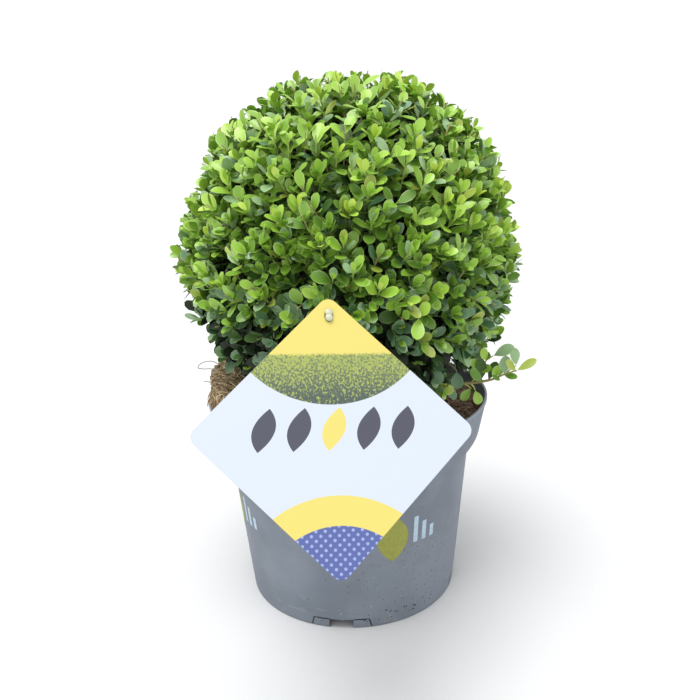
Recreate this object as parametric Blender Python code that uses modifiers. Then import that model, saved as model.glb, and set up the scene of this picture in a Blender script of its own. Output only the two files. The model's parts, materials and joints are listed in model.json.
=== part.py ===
"""A clipped ball of small-leaved holly in a round nursery pot, with a square card tied to its front.

Metres, +Z up. The origin is the middle of the pot's underside, and the card hangs on the -Y side.
"""

import math
import random

import bmesh
import bpy
from mathutils import Matrix, Vector, noise

TURN_STEPS = 40
TOUCH_GAP = 0.0003

# Pot: a turned shell with a collar, a channel under its floor and slots through its foot
RIM_RADIUS = 0.130
POT_HEIGHT = 0.1915
WALL = 0.0022
RIM_LIP = 0.0026
COLLAR_FOOT = Vector((0.1222, 0.1545))
SHOULDER = Vector((0.1124, 0.1395))
FOOT_RADIUS = 0.0992
CHANNEL_HEIGHT = 0.010
CHANNEL_INNER = 0.0785
CHANNEL_OUTER = 0.0958
CHANNEL_DRAFT = 0.0030
INNER_DROP = 0.001
RIM_ROUND = 0.0005
RIM_BAND = 0.0028
FOOT_ROUND = 0.0008
FOOT_BAND = 0.003
COLLAR_BEND = Vector((0.28, 0.5))
INNER_BEND = Vector((0.6, 0.45))
SLOT_COUNT = 4
SLOT_WIDTH = 0.022
SLOT_HEIGHT = 0.0092
SLOT_DEPTH = 0.016
SLOT_TURN = math.radians(-97.3)

# Root ball: it fills the pot and stands over the rim on the -X side
SOIL_LEVEL = 0.1805
SOIL_RISE = 0.034
SOIL_FLAT_RADIUS = 0.024
TRUNK_FOOT = 0.1860
SOIL_BLEND = 0.03
SOIL_CLEAR = 0.0006
RISE_START = 0.015
RISE_WIDTH = 0.10
ROOT_EDGE = 0.1246
ROOT_NECK = (0.1222, 0.1690)
ROOT_RINGS = (0.0, 0.21, 0.45, 0.68, 0.88, 1.0)
ROOT_LUMP = 0.0022
LUMPS_PER_METRE = 45

# Trunk and boughs
TRUNK_TOP = 0.288
TRUNK_LEAN = 0.034
TRUNK_RISES = (0.0, 0.003, 0.007, 0.012, 0.020, 0.045, 0.075)
FLARE_RADIUS = 0.0145
FLARE_HEIGHT = 0.020
TRUNK_RADIUS = 0.0092
FORK_RADIUS = 0.0068
BOUGH_FOOT_RADIUS = 0.0034
BOUGH_TIP_RADIUS = 0.0022
BOUGH_STEPS = 4
BOUGH_STRAIGHT = 0.003
BOUGH_PULL = 0.42
SIDE_BOUGH_HEIGHTS = (0.236, 0.252, 0.240, 0.256, 0.244, 0.260)
UPPER_BOUGH_HEIGHTS = (0.268, 0.278, 0.271, 0.281, 0.274, 0.265)

# Crown: half-widths of the clipped ball at rising heights
CROWN_MIDDLE = Vector((0.005, 0.0, 0.325))
CROWN_HEIGHTS = (0.205, 0.235, 0.270, 0.320, 0.365, 0.405, 0.435, 0.458, 0.472, 0.4785)
CROWN_WIDTHS = (0.1185, 0.1340, 0.1460, 0.1530, 0.1460, 0.1310, 0.1110, 0.0820, 0.0500, 0.0)
SIDE_MASSES, SIDE_TILT = 6, math.radians(-8)
UPPER_MASSES, UPPER_TILT = 6, math.radians(38)
FRONT = math.radians(-90)
SPACE_GAP = 0.0006

# Each mass: a core, a stem that meets its bough, and sprays of leaves
CORE_SHARE = 0.83
CORE_HOLLOW = 0.062
CORE_BOTTOM = 0.232
CORE_LUMP = 0.03
STEM_FOOT = 0.046
STEM_LENGTH = 0.036
STEM_RADIUS = 0.0030
SPRAY_POINTS = 108
SPRAY_LOWEST = math.radians(-54)
SPRAY_SHARE = 0.89
SPRAY_ROOT_DEPTH = 0.008
SPRAY_SPARE = 0.0015
TWIG_RADIUS = 0.0014
LEAF_PAIRS = 3
PAIR_STEP = 0.0055
PAIR_OFFSET = 0.0012
PAIR_TURN = math.radians(75)
PAIR_DRIFT = 0.3
LEAF_LENGTH = 0.033
LEAF_WIDTH = 0.60
LEAF_THICKNESS = 0.034
LEAF_ARCH = 0.05
LEAF_BELLIES = (0.56, 0.40)
LEAF_SPREAD = math.radians(58)
TIP_SPREAD_SHARE = 0.62
SPREAD_SHARE_STEP = 0.28
LIMB_CLEARANCE = 0.0045
POT_CLEARANCE = 0.003

# Low spray that leans out over the rim on the +X side
LOW_SPRAY_PATH = (
    Vector((0.0900, -0.0520, 0.2150)),
    Vector((0.1130, -0.0570, 0.2235)),
    Vector((0.1340, -0.0600, 0.2300)),
    Vector((0.1530, -0.0620, 0.2345)),
)
LOW_SPRAY_LEAF = 0.021
LOW_SPRAY_SPREAD = math.radians(52)
LOW_BOUGH_HEIGHT = 0.2075

# Card and its tie
CARD_SIDE = 0.1410
CARD_CORNER = 0.0075
CARD_THICKNESS = 0.0008
CARD_MIDDLE = Vector((-0.0101, -0.2152, 0.2402))
CARD_SPIN = math.radians(4.4)
CARD_LEAN = math.radians(33.0)
CARD_TURN = math.radians(10.2)
CARD_HOLE_DROP = 0.0152
CARD_HOLE_HALF = Vector((0.0031, 0.0047))
TIE_RADIUS = 0.0011
TIE_HEAD_RADIUS = 0.0026
TIE_HEAD_STEP = 0.0023
TIE_HEAD_FLAT = 0.6
TIE_TWIG_END = 0.1400
TIE_TWIG_LENGTH = 0.035


def clear_scene():
    for obj in list(bpy.data.objects):
        bpy.data.objects.remove(obj, do_unlink=True)


def new_collection(name):
    made = bpy.data.collections.new(name)
    bpy.context.scene.collection.children.link(made)
    return made


def material(name, colour, roughness, metallic=0.0):
    made = bpy.data.materials.new(name)
    made.use_nodes = True
    shader = made.node_tree.nodes["Principled BSDF"]
    shader.inputs["Base Color"].default_value = (*colour, 1.0)
    shader.inputs["Roughness"].default_value = roughness
    shader.inputs["Metallic"].default_value = metallic
    return made


def place(name, mesh, group, finish=None):
    obj = bpy.data.objects.new(name, mesh)
    group.objects.link(obj)
    if finish and not mesh.materials:
        mesh.materials.append(finish)
    return obj


def mesh_from(bm, name):
    mesh = bpy.data.meshes.new(name)
    bm.to_mesh(mesh)
    bm.free()
    return mesh


def evaluated_mesh(obj):
    """The object's mesh with its modifiers, or its curve, made real."""
    graph = bpy.context.evaluated_depsgraph_get()
    return bpy.data.meshes.new_from_object(obj.evaluated_get(graph))


def baked(obj):
    """The same object with its modifiers applied."""
    mesh = evaluated_mesh(obj)
    obj.modifiers.clear()
    obj.data = mesh
    return obj


def smooth(obj, angle=math.radians(35)):
    obj.data.shade_smooth()
    obj.data.set_sharp_from_angle(angle=angle)
    return obj


def turned(name, profile, group, finish):
    """A profile of (radius, height) points turned about the Z axis."""
    bm = bmesh.new()
    points = [bm.verts.new((radius, 0.0, height)) for radius, height in profile]
    for start, end in zip(points, points[1:]):
        bm.edges.new((start, end))
    obj = place(name, mesh_from(bm, name), group, finish)
    turn = obj.modifiers.new("turn", "SCREW")
    turn.steps = turn.render_steps = TURN_STEPS
    turn.use_merge_vertices = True
    turn.merge_threshold = 0.0001
    return obj


def limb(name, points, radii, group, finish, resolution=2):
    """A round tapering limb along a line of points, as a closed mesh."""
    curve = bpy.data.curves.new(name, "CURVE")
    curve.dimensions = "3D"
    curve.bevel_depth = 1.0
    curve.bevel_resolution = resolution
    curve.use_fill_caps = True
    spline = curve.splines.new("POLY")
    spline.points.add(len(points) - 1)
    for knot, point, radius in zip(spline.points, points, radii):
        knot.co = (*point, 1.0)
        knot.radius = radius
    guide = place(name, curve, group)
    bm = bmesh.new()
    bm.from_mesh(evaluated_mesh(guide))
    bmesh.ops.remove_doubles(bm, verts=bm.verts, dist=1e-6)
    bpy.data.objects.remove(guide, do_unlink=True)
    return smooth(place(name, mesh_from(bm, name), group, finish))


def cut(obj, cutter):
    """A Boolean difference that stays on the object as a modifier."""
    cutter.hide_render = True
    cutter.display_type = "WIRE"
    made = obj.modifiers.new("cut", "BOOLEAN")
    made.operation = "DIFFERENCE"
    made.object = cutter


def blend(low, high, share):
    return low + (high - low) * share


def eased(share):
    share = min(max(share, 0.0), 1.0)
    return share * share * (3.0 - 2.0 * share)


def direction(azimuth, tilt):
    flat = math.cos(tilt)
    return Vector((flat * math.cos(azimuth), flat * math.sin(azimuth), math.sin(tilt)))


def even_directions(count):
    """Directions spread evenly over the sphere by the golden angle."""
    golden = math.pi * (3.0 - math.sqrt(5.0))
    for index in range(count):
        height = 1.0 - 2.0 * (index + 0.5) / count
        yield direction(index * golden, math.asin(height))


def bend(start, end, shares):
    """The (radius, height) point that lies these shares of the way from one corner to the next."""
    return blend(start.x, end.x, shares.x), blend(start.y, end.y, shares.y)


def pot_profile():
    """From the middle of the floor up the inside, over the rim and down the outside."""
    floor = CHANNEL_HEIGHT + WALL
    inner_shoulder = SHOULDER - Vector((WALL, INNER_DROP))
    inner_collar = COLLAR_FOOT - Vector((WALL, INNER_DROP))
    rim_inside = RIM_RADIUS - RIM_LIP
    return [
        (0.0, WALL),
        (CHANNEL_INNER - WALL, WALL),
        (CHANNEL_INNER + RIM_ROUND, floor),
        (FOOT_RADIUS - WALL / 2, floor),
        tuple(inner_shoulder),
        bend(inner_shoulder, inner_collar, INNER_BEND),
        tuple(inner_collar),
        (rim_inside, POT_HEIGHT - 4 * RIM_ROUND),
        (rim_inside + RIM_ROUND, POT_HEIGHT),
        (RIM_RADIUS - RIM_ROUND, POT_HEIGHT),
        (RIM_RADIUS, POT_HEIGHT - RIM_ROUND),
        (RIM_RADIUS, POT_HEIGHT - RIM_BAND),
        tuple(COLLAR_FOOT),
        bend(COLLAR_FOOT, SHOULDER, COLLAR_BEND),
        tuple(SHOULDER),
        (FOOT_RADIUS, FOOT_BAND),
        (FOOT_RADIUS - FOOT_ROUND, 0.0),
        (CHANNEL_OUTER + FOOT_ROUND, 0.0),
        (CHANNEL_OUTER, CHANNEL_HEIGHT),
        (CHANNEL_INNER + CHANNEL_DRAFT, CHANNEL_HEIGHT),
        (CHANNEL_INNER, 0.0),
        (0.0, 0.0),
    ]


def make_pot(parts, cutters, finish):
    pot = smooth(turned("pot", pot_profile(), parts, finish))
    for index in range(SLOT_COUNT):
        azimuth = SLOT_TURN + index * math.tau / SLOT_COUNT
        bm = bmesh.new()
        bmesh.ops.create_cube(bm, size=1.0)
        scale = Matrix.Diagonal((SLOT_DEPTH, SLOT_WIDTH, 2 * SLOT_HEIGHT, 1.0))
        shift = Matrix.Translation((FOOT_RADIUS + WALL, 0.0, 0.0))
        bmesh.ops.transform(bm, matrix=Matrix.Rotation(azimuth, 4, "Z") @ shift @ scale, verts=bm.verts)
        name = f"slot_cutter_{index + 1}"
        cut(pot, place(name, mesh_from(bm, name), cutters))
    return pot


def soil_height(x, y):
    """Height of the root ball's top: level round the trunk, low at +X and mounded at -X."""
    away = eased((math.hypot(x, y) - SOIL_FLAT_RADIUS) / SOIL_BLEND)
    rise = SOIL_LEVEL + SOIL_RISE * eased((-x - RISE_START) / RISE_WIDTH)
    lump = ROOT_LUMP * noise.noise(Vector((x * LUMPS_PER_METRE, y * LUMPS_PER_METRE, 3.0)))
    return blend(TRUNK_FOOT - TOUCH_GAP, rise + lump, away)


def root_profile():
    """The ball's top, still flat, and its side and underside, clear of the pot's inside."""
    wall = WALL + SOIL_CLEAR
    inner_shoulder = SHOULDER - Vector((wall, INNER_DROP - SOIL_CLEAR))
    inner_collar = COLLAR_FOOT - Vector((wall, INNER_DROP))
    floor = CHANNEL_HEIGHT + wall
    top = [(ROOT_EDGE * share, POT_HEIGHT) for share in ROOT_RINGS]
    side = [
        ROOT_NECK,
        tuple(inner_collar),
        bend(inner_shoulder, inner_collar, INNER_BEND - Vector((0.05, 0.0))),
        tuple(inner_shoulder),
        (FOOT_RADIUS - WALL, floor),
        (CHANNEL_INNER - SOIL_CLEAR, floor),
        (CHANNEL_INNER - wall, wall),
        (0.0, wall),
    ]
    return top, side


def make_root_ball(parts, finish):
    top, side = root_profile()
    ball = baked(turned("root_ball", top + side, parts, finish))
    for vertex in ball.data.vertices:
        if vertex.co.z > POT_HEIGHT - 0.001:
            vertex.co.z = soil_height(vertex.co.x, vertex.co.y)
    return smooth(ball, math.radians(50))


def trunk_point(height):
    return Vector((TRUNK_LEAN * (height - TRUNK_FOOT), 0.0, height))


def trunk_radius(height):
    """The root flare dies out over its own height, and the rest tapers to the fork."""
    rise = height - TRUNK_FOOT
    taper = blend(TRUNK_RADIUS, FORK_RADIUS, rise / (TRUNK_TOP - TRUNK_FOOT))
    return taper + (FLARE_RADIUS - TRUNK_RADIUS) * (1.0 - eased(rise / FLARE_HEIGHT))


def make_trunk(parts, finish):
    heights = [TRUNK_FOOT + rise for rise in TRUNK_RISES] + [TRUNK_TOP]
    points = [trunk_point(height) for height in heights]
    points[0].x = points[1].x
    radii = [trunk_radius(height) for height in heights]
    return limb("trunk", points, radii, parts, finish, resolution=4)


def arch(start, start_way, end, end_way):
    """Points of a bough that leaves along start_way and arrives along end_way, straight at both ends."""
    first, last = start + start_way * BOUGH_STRAIGHT, end - end_way * BOUGH_STRAIGHT
    pull = (last - first).length * BOUGH_PULL
    knots = (first, first + start_way * pull, last - end_way * pull, last)
    points = [start]
    for step in range(BOUGH_STEPS + 1):
        t = step / BOUGH_STEPS
        weights = ((1 - t) ** 3, 3 * t * (1 - t) ** 2, 3 * t * t * (1 - t), t**3)
        points.append(sum((knot * weight for knot, weight in zip(knots, weights)), Vector()))
    return points + [end]


def bough_path(height, end, end_way):
    """From the trunk's bark at this height to the end point."""
    foot = trunk_point(height)
    way = Vector((end.x - foot.x, end.y - foot.y, 0.0)).normalized()
    start = foot + way * (trunk_radius(height) + TOUCH_GAP)
    return arch(start, way, end, end_way)


def bough_radii(count):
    return [blend(BOUGH_FOOT_RADIUS, BOUGH_TIP_RADIUS, index / (count - 1)) for index in range(count)]


def crown_width(height):
    """Half-width of the clipped ball at a height, or less than nothing outside it."""
    if not CROWN_HEIGHTS[0] <= height <= CROWN_HEIGHTS[-1]:
        return -1.0
    for low, high, width, next_width in zip(CROWN_HEIGHTS, CROWN_HEIGHTS[1:], CROWN_WIDTHS, CROWN_WIDTHS[1:]):
        if height <= high:
            share = (height - low) / (high - low)
            if next_width == 0.0:
                return width * math.sqrt(1.0 - share * share)
            return blend(width, next_width, share)
    return 0.0


def in_crown(point, spare=0.0):
    axis_x = CROWN_MIDDLE.x + TRUNK_LEAN * (point.z - CROWN_MIDDLE.z)
    return math.hypot(point.x - axis_x, point.y) < crown_width(point.z) + spare


def reach(way):
    """How far the crown goes from its middle in this direction."""
    near, far = 0.05, 0.20
    while far - near > 0.0002:
        middle = (near + far) / 2
        if in_crown(CROWN_MIDDLE + way * middle):
            near = middle
        else:
            far = middle
    return near


def mass_directions():
    """The name of each mass of the ball and the direction that its space lies round."""
    ways = {"top": Vector((0.0, 0.0, 1.0))}
    for index in range(UPPER_MASSES):
        azimuth = FRONT + (index + 0.5) * math.tau / UPPER_MASSES
        ways[f"upper_{index + 1}"] = direction(azimuth, UPPER_TILT)
    for index in range(SIDE_MASSES):
        ways[f"side_{index + 1}"] = direction(FRONT + index * math.tau / SIDE_MASSES, SIDE_TILT)
    return ways


class Space:
    """The part of the ball nearer to one direction than to the others."""

    def __init__(self, way, ways):
        self.way = way
        self.fences = [(way - other).normalized() for other in ways if other != way]

    def holds(self, points, spare=SPACE_GAP):
        return all((point - CROWN_MIDDLE).dot(fence) > spare for point in points for fence in self.fences)


def near_limb(points, limbs):
    """Whether any point comes close to a limb, given as a list of (start, end, radius)."""
    for start, end, radius in limbs:
        along = end - start
        for point in points:
            share = min(max((point - start).dot(along) / along.length_squared, 0.0), 1.0)
            if (point - start - along * share).length < radius + LIMB_CLEARANCE:
                return True
    return False


def over_pot(points):
    """Whether every point is clear of the root ball and of the pot's rim."""
    for point in points:
        out = math.hypot(point.x, point.y)
        if out < RIM_RADIUS + 2 * POT_CLEARANCE and point.z < POT_HEIGHT + POT_CLEARANCE:
            return False
        if out < RIM_RADIUS and point.z < soil_height(point.x, point.y) + POT_CLEARANCE:
            return False
    return True


def leaf_mesh():
    """A leaf of eight faces, one unit long, from its root at the origin to its tip on +Y."""
    bm = bmesh.new()
    bmesh.ops.create_uvsphere(bm, u_segments=4, v_segments=2, radius=1.0)
    for vertex in bm.verts:
        across, deep, along = vertex.co
        belly = LEAF_BELLIES[0] if abs(across) > abs(deep) else LEAF_BELLIES[1]
        belly = (along + 1.0) / 2 if abs(along) > 0.5 else belly
        lift = LEAF_ARCH if abs(deep) > 0.5 else 0.0
        vertex.co = (across * LEAF_WIDTH / 2, belly, deep * LEAF_THICKNESS / 2 + lift)
    bmesh.ops.recalc_face_normals(bm, faces=bm.faces)
    return mesh_from(bm, "leaf")


def twig_mesh():
    """A three-sided tapering twig, one unit long and one unit in radius at its foot, along +Z."""
    bm = bmesh.new()
    lift = Matrix.Translation((0.0, 0.0, 0.5))
    bmesh.ops.create_cone(
        bm, cap_ends=True, segments=3, radius1=1.0, radius2=0.62, depth=1.0, matrix=lift
    )
    return mesh_from(bm, "twig")


def leaf_matrix(root, way, face, length):
    """Places a leaf from its root along way, with its upper side turned to face."""
    up = (face - way * face.dot(way)).normalized()
    turn = Matrix((way.cross(up), way, up)).transposed().to_4x4()
    return Matrix.Translation(root) @ turn @ Matrix.Scale(length, 4)


def twig_matrix(start, end, radius):
    turn = (end - start).to_track_quat("Z", "Y").to_matrix().to_4x4()
    return Matrix.Translation(start) @ turn @ Matrix.Diagonal((radius, radius, (end - start).length, 1.0))


def leaf_samples(matrix):
    """Points over a placed leaf, close enough together that no limb passes between them."""
    half = LEAF_WIDTH / 2
    rim = [(0.0, 0.0), (0.0, 0.25), (0.0, 0.5), (0.0, 0.75), (0.0, 1.0)]
    rim += [(side * half * wide, along) for side in (-1, 1) for wide, along in ((0.5, 0.3), (1.0, 0.56), (0.5, 0.8))]
    return [matrix @ Vector((across, along, LEAF_ARCH)) for across, along in rim]


def any_across(way, draw):
    """A direction square to way, at a drawn turn round it."""
    side = way.orthogonal().normalized()
    return Matrix.Rotation(draw.uniform(0.0, math.tau), 3, way) @ side


def splayed(way, side, angle):
    return (way * math.cos(angle) + side * math.sin(angle)).normalized()


class Foliage:
    """Twigs and leaves gathered for one mass, each kept only where there is room for it."""

    def __init__(self, name, allowed, shapes):
        self.name = name
        self.allowed = allowed
        self.shapes = shapes
        self.group = new_collection(f"{name}_pieces")

    def add(self, kind, matrix):
        obj = place(f"{self.name}_{kind}", self.shapes[kind], self.group)
        obj.matrix_world = matrix

    def twig(self, start, end, radius):
        points = [start.lerp(end, share) for share in (0.35, 0.6, 0.8, 1.0)]
        if not self.allowed(points):
            return False
        self.add("twig", twig_matrix(start, end, radius))
        return True

    def leaf(self, node, way, face, length):
        root = node - way * TWIG_RADIUS * 0.9
        matrix = leaf_matrix(root, way, face, length)
        if self.allowed(leaf_samples(matrix)):
            self.add("leaf", matrix)

    def pairs(self, tip, way, count, length, draw):
        """Leaves in opposite pairs down from a twig's tip, each pair turned from the one above."""
        side = any_across(way, draw)
        for index in range(2 * count):
            pair, half = divmod(index, 2)
            around = half * math.pi + pair * PAIR_TURN + draw.uniform(-PAIR_DRIFT, PAIR_DRIFT)
            leaf_side = Matrix.Rotation(around, 3, way) @ side
            angle = LEAF_SPREAD * (TIP_SPREAD_SHARE + SPREAD_SHARE_STEP * pair) * draw.uniform(0.85, 1.15)
            node = tip - way * (TWIG_RADIUS + PAIR_STEP * pair + PAIR_OFFSET * half)
            self.leaf(node, splayed(way, leaf_side, angle), way, length * draw.uniform(0.86, 1.08))

    def fuse(self, base, parts, finish):
        """Joins the pieces to the base in one union, and keeps its largest body."""
        union = base.modifiers.new("fuse", "BOOLEAN")
        union.operation = "UNION"
        union.operand_type = "COLLECTION"
        union.collection = self.group
        bm = bmesh.new()
        bm.from_mesh(evaluated_mesh(base))
        keep_largest(bm)
        for obj in list(self.group.objects):
            bpy.data.objects.remove(obj, do_unlink=True)
        bpy.data.collections.remove(self.group)
        bpy.data.objects.remove(base, do_unlink=True)
        return place(self.name, mesh_from(bm, self.name), parts, finish)


def keep_largest(bm):
    """Drops every body but the largest: a loose scrap, or the skin of a sealed hollow."""
    left = set(bm.verts)
    bodies = []
    while left:
        body, front = set(), [left.pop()]
        while front:
            vertex = front.pop()
            body.add(vertex)
            for edge in vertex.link_edges:
                other = edge.other_vert(vertex)
                if other in left:
                    left.remove(other)
                    front.append(other)
        bodies.append(body)
    bodies.sort(key=len)
    scraps = [vertex for body in bodies[:-1] for vertex in body]
    bmesh.ops.delete(bm, geom=scraps, context="VERTS")


def keep_side(bm, point, normal):
    """Cuts a closed convex mesh at a plane, keeps the side the normal points to and closes it."""
    everything = bm.verts[:] + bm.edges[:] + bm.faces[:]
    bmesh.ops.bisect_plane(bm, geom=everything, plane_co=point, plane_no=normal, clear_inner=True)
    bmesh.ops.edgeloop_fill(bm, edges=[edge for edge in bm.edges if edge.is_boundary])


def core_mesh(name, space):
    """The dense inside of a mass: the ball's inner body cut down to the mass's own space."""
    bm = bmesh.new()
    bmesh.ops.create_icosphere(bm, subdivisions=3, radius=1.0)
    for vertex in bm.verts:
        way = vertex.co.normalized()
        lump = 1.0 + CORE_LUMP * noise.noise(way * 4.0)
        vertex.co = CROWN_MIDDLE + way * reach(way) * CORE_SHARE * lump
    for fence in space.fences:
        keep_side(bm, CROWN_MIDDLE + fence * SPACE_GAP, fence)
    keep_side(bm, CROWN_MIDDLE + space.way * CORE_HOLLOW, space.way)
    keep_side(bm, Vector((0.0, 0.0, CORE_BOTTOM)), Vector((0.0, 0.0, 1.0)))
    bmesh.ops.recalc_face_normals(bm, faces=bm.faces)
    return mesh_from(bm, name)


def inside_hull(mesh, point, depth):
    return all((point - face.center).dot(face.normal) < -depth for face in mesh.polygons)


def root_in_core(mesh, way, middle_way):
    """A point well inside the core, as near as it goes to under the spray."""
    for step in range(12):
        leaned = way.lerp(middle_way, step / 12).normalized()
        leaned_reach = reach(leaned) * CORE_SHARE - SPRAY_ROOT_DEPTH
        point = CROWN_MIDDLE + leaned * leaned_reach
        if inside_hull(mesh, point, 0.004):
            return point
    return None


def make_mass(name, space, limbs, shapes, parts, finish, extra=()):
    """One mass of the ball: core, stem and sprays, fused."""
    draw = random.Random(name)

    def allowed(points):
        return (
            space.holds(points)
            and all(in_crown(point, SPRAY_SPARE) for point in points)
            and over_pot(points)
            and not near_limb(points, limbs)
        )

    foliage = Foliage(name, allowed, shapes)
    core = core_mesh(name, space)
    foot = CROWN_MIDDLE + space.way * STEM_FOOT
    foliage.add("twig", twig_matrix(foot, foot + space.way * STEM_LENGTH, STEM_RADIUS))
    for start, end in extra:
        foliage.add("twig", twig_matrix(start, end, TWIG_RADIUS * 1.3))
    for way in even_directions(SPRAY_POINTS):
        if math.asin(way.z) < SPRAY_LOWEST or not space.holds([CROWN_MIDDLE + way * 0.1], 0.002):
            continue
        root = root_in_core(core, way, space.way)
        tip = CROWN_MIDDLE + way * reach(way) * SPRAY_SHARE * draw.uniform(0.97, 1.02)
        if root and foliage.twig(root, tip, TWIG_RADIUS):
            foliage.pairs(tip, (tip - root).normalized(), LEAF_PAIRS, LEAF_LENGTH, draw)
    return foliage.fuse(place(name + "_core", core, parts), parts, finish)


def tapered_stick(name, start, end, foot_radius, tip_radius):
    """A three-sided stick between two points, as a mesh in world space."""
    bm = bmesh.new()
    bmesh.ops.create_cone(
        bm, cap_ends=True, segments=3, radius1=foot_radius, radius2=tip_radius, depth=(end - start).length
    )
    turn = (end - start).to_track_quat("Z", "Y").to_matrix().to_4x4()
    bmesh.ops.transform(bm, matrix=Matrix.Translation((start + end) / 2) @ turn, verts=bm.verts)
    return mesh_from(bm, name)


def make_low_spray(shapes, parts, finish):
    """The slender branch that leans out over the rim, with leaves in pairs."""
    name = "mass_low_right"
    draw = random.Random(name)

    def allowed(points):
        return over_pot(points) and not any(in_crown(point, SPRAY_SPARE) for point in points)

    foliage = Foliage(name, allowed, shapes)
    path, tip = LOW_SPRAY_PATH, LOW_SPRAY_PATH[-1]
    for index, (start, end) in enumerate(zip(path[1:], path[2:])):
        overlap = (end - start).normalized() * TWIG_RADIUS
        foliage.add("twig", twig_matrix(start - overlap, end, TWIG_RADIUS * (1.05 - 0.2 * index)))
    way = (tip - path[-2]).normalized()
    for node in path[1:]:
        side = any_across(way, draw)
        for half in (1.0, -1.0):
            leaf_way = splayed(way, side * half, LOW_SPRAY_SPREAD)
            foliage.leaf(node - way * TWIG_RADIUS, leaf_way, Vector((0.0, 0.0, 1.0)), LOW_SPRAY_LEAF)
    foliage.pairs(tip, way, 1, LOW_SPRAY_LEAF, draw)
    base = tapered_stick(name + "_core", path[0], path[1], BOUGH_TIP_RADIUS, TWIG_RADIUS)
    return foliage.fuse(place(name + "_core", base, parts), parts, finish)


def card_matrix():
    lean = Matrix.Rotation(-CARD_LEAN, 4, "X") @ Matrix.Rotation(CARD_SPIN, 4, "Y")
    return Matrix.Translation(CARD_MIDDLE) @ Matrix.Rotation(CARD_TURN, 4, "Z") @ lean


def card_hole():
    """The middle of the hole in the card's own frame, whose face looks along -Y."""
    return Vector((0.0, 0.0, CARD_SIDE / math.sqrt(2) - CARD_HOLE_DROP))


def arc(middle, radii, start, stop, steps):
    for step in range(steps + 1):
        angle = blend(start, stop, step / steps)
        yield middle + Vector((radii.x * math.cos(angle), radii.y * math.sin(angle)))


def card_outline():
    """A square on its corner with rounded corners, from its right corner round."""
    far = (CARD_SIDE / 2 - CARD_CORNER) * math.sqrt(2)
    radii = Vector((CARD_CORNER, CARD_CORNER))
    points = []
    for index in range(4):
        angle = index * math.pi / 2
        corner = Vector((far * math.cos(angle), far * math.sin(angle)))
        points += arc(corner, radii, angle - math.pi / 4, angle + math.pi / 4, 5)
    return points


def make_card(parts, finish):
    hole_middle = Vector((0.0, card_hole().z))
    outlines = [card_outline(), list(arc(hole_middle, CARD_HOLE_HALF, 0.0, math.tau * 13 / 14, 13))]
    curve = bpy.data.curves.new("label_card", "CURVE")
    curve.dimensions = "2D"
    curve.fill_mode = "BOTH"
    curve.extrude = CARD_THICKNESS / 2
    for outline in outlines:
        spline = curve.splines.new("POLY")
        spline.points.add(len(outline) - 1)
        spline.use_cyclic_u = True
        for knot, point in zip(spline.points, outline):
            knot.co = (point.x, point.y, 0.0, 1.0)
    guide = place("label_card", curve, parts)
    bm = bmesh.new()
    bm.from_mesh(evaluated_mesh(guide))
    bmesh.ops.remove_doubles(bm, verts=bm.verts, dist=1e-6)
    bpy.data.objects.remove(guide, do_unlink=True)
    card = place("label_card", mesh_from(bm, "label_card"), parts, finish)
    card.matrix_world = card_matrix() @ Matrix.Rotation(math.pi / 2, 4, "X")
    return card


def tie_hold():
    """The point under the hole's upper edge where the tie carries the card."""
    rise = CARD_HOLE_HALF.y - TIE_RADIUS - TOUCH_GAP
    return card_matrix() @ (card_hole() + Vector((0.0, 0.0, rise)))


def tie_start():
    """The end of the short twig that the tie is fixed to."""
    hold = tie_hold()
    return Vector((hold.x, -TIE_TWIG_END, hold.z + 0.001))


def make_tie(parts, finish):
    out = (card_matrix().to_3x3() @ Vector((0.0, -1.0, 0.0))).normalized()
    start, hold, hole = tie_start(), tie_hold(), card_matrix() @ card_hole()
    front = CARD_THICKNESS / 2 + TOUCH_GAP + TIE_HEAD_RADIUS * TIE_HEAD_FLAT
    twig_way = Vector((0.0, -1.0, 0.0))
    points = [start + twig_way * TOUCH_GAP, start + twig_way * 0.004, hold - out * 0.003, hold + out * front]
    tie = limb("label_tie", points, [TIE_RADIUS] * len(points), parts, finish)
    lobes = new_collection("label_tie_pieces")
    up = (card_matrix().to_3x3() @ Vector((0.0, 0.0, 1.0))).normalized()
    for side in (-1, 1):
        bm = bmesh.new()
        bmesh.ops.create_uvsphere(bm, u_segments=8, v_segments=4, radius=TIE_HEAD_RADIUS)
        flat = Matrix.Diagonal((1.0, TIE_HEAD_FLAT, 1.0, 1.0))
        turn = card_matrix().to_3x3().to_4x4()
        middle = Matrix.Translation(hole + out * front + up * side * TIE_HEAD_STEP)
        bmesh.ops.transform(bm, matrix=middle @ turn @ flat, verts=bm.verts)
        place(f"label_tie_lobe_{side}", mesh_from(bm, "lobe"), lobes)
    union = tie.modifiers.new("fuse", "BOOLEAN")
    union.operation = "UNION"
    union.operand_type = "COLLECTION"
    union.collection = lobes
    baked(tie)
    for obj in list(lobes.objects):
        bpy.data.objects.remove(obj, do_unlink=True)
    bpy.data.collections.remove(lobes)
    return tie


def segments(points, radii):
    return [(start, end, radius) for start, end, radius in zip(points, points[1:], radii)]


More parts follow.
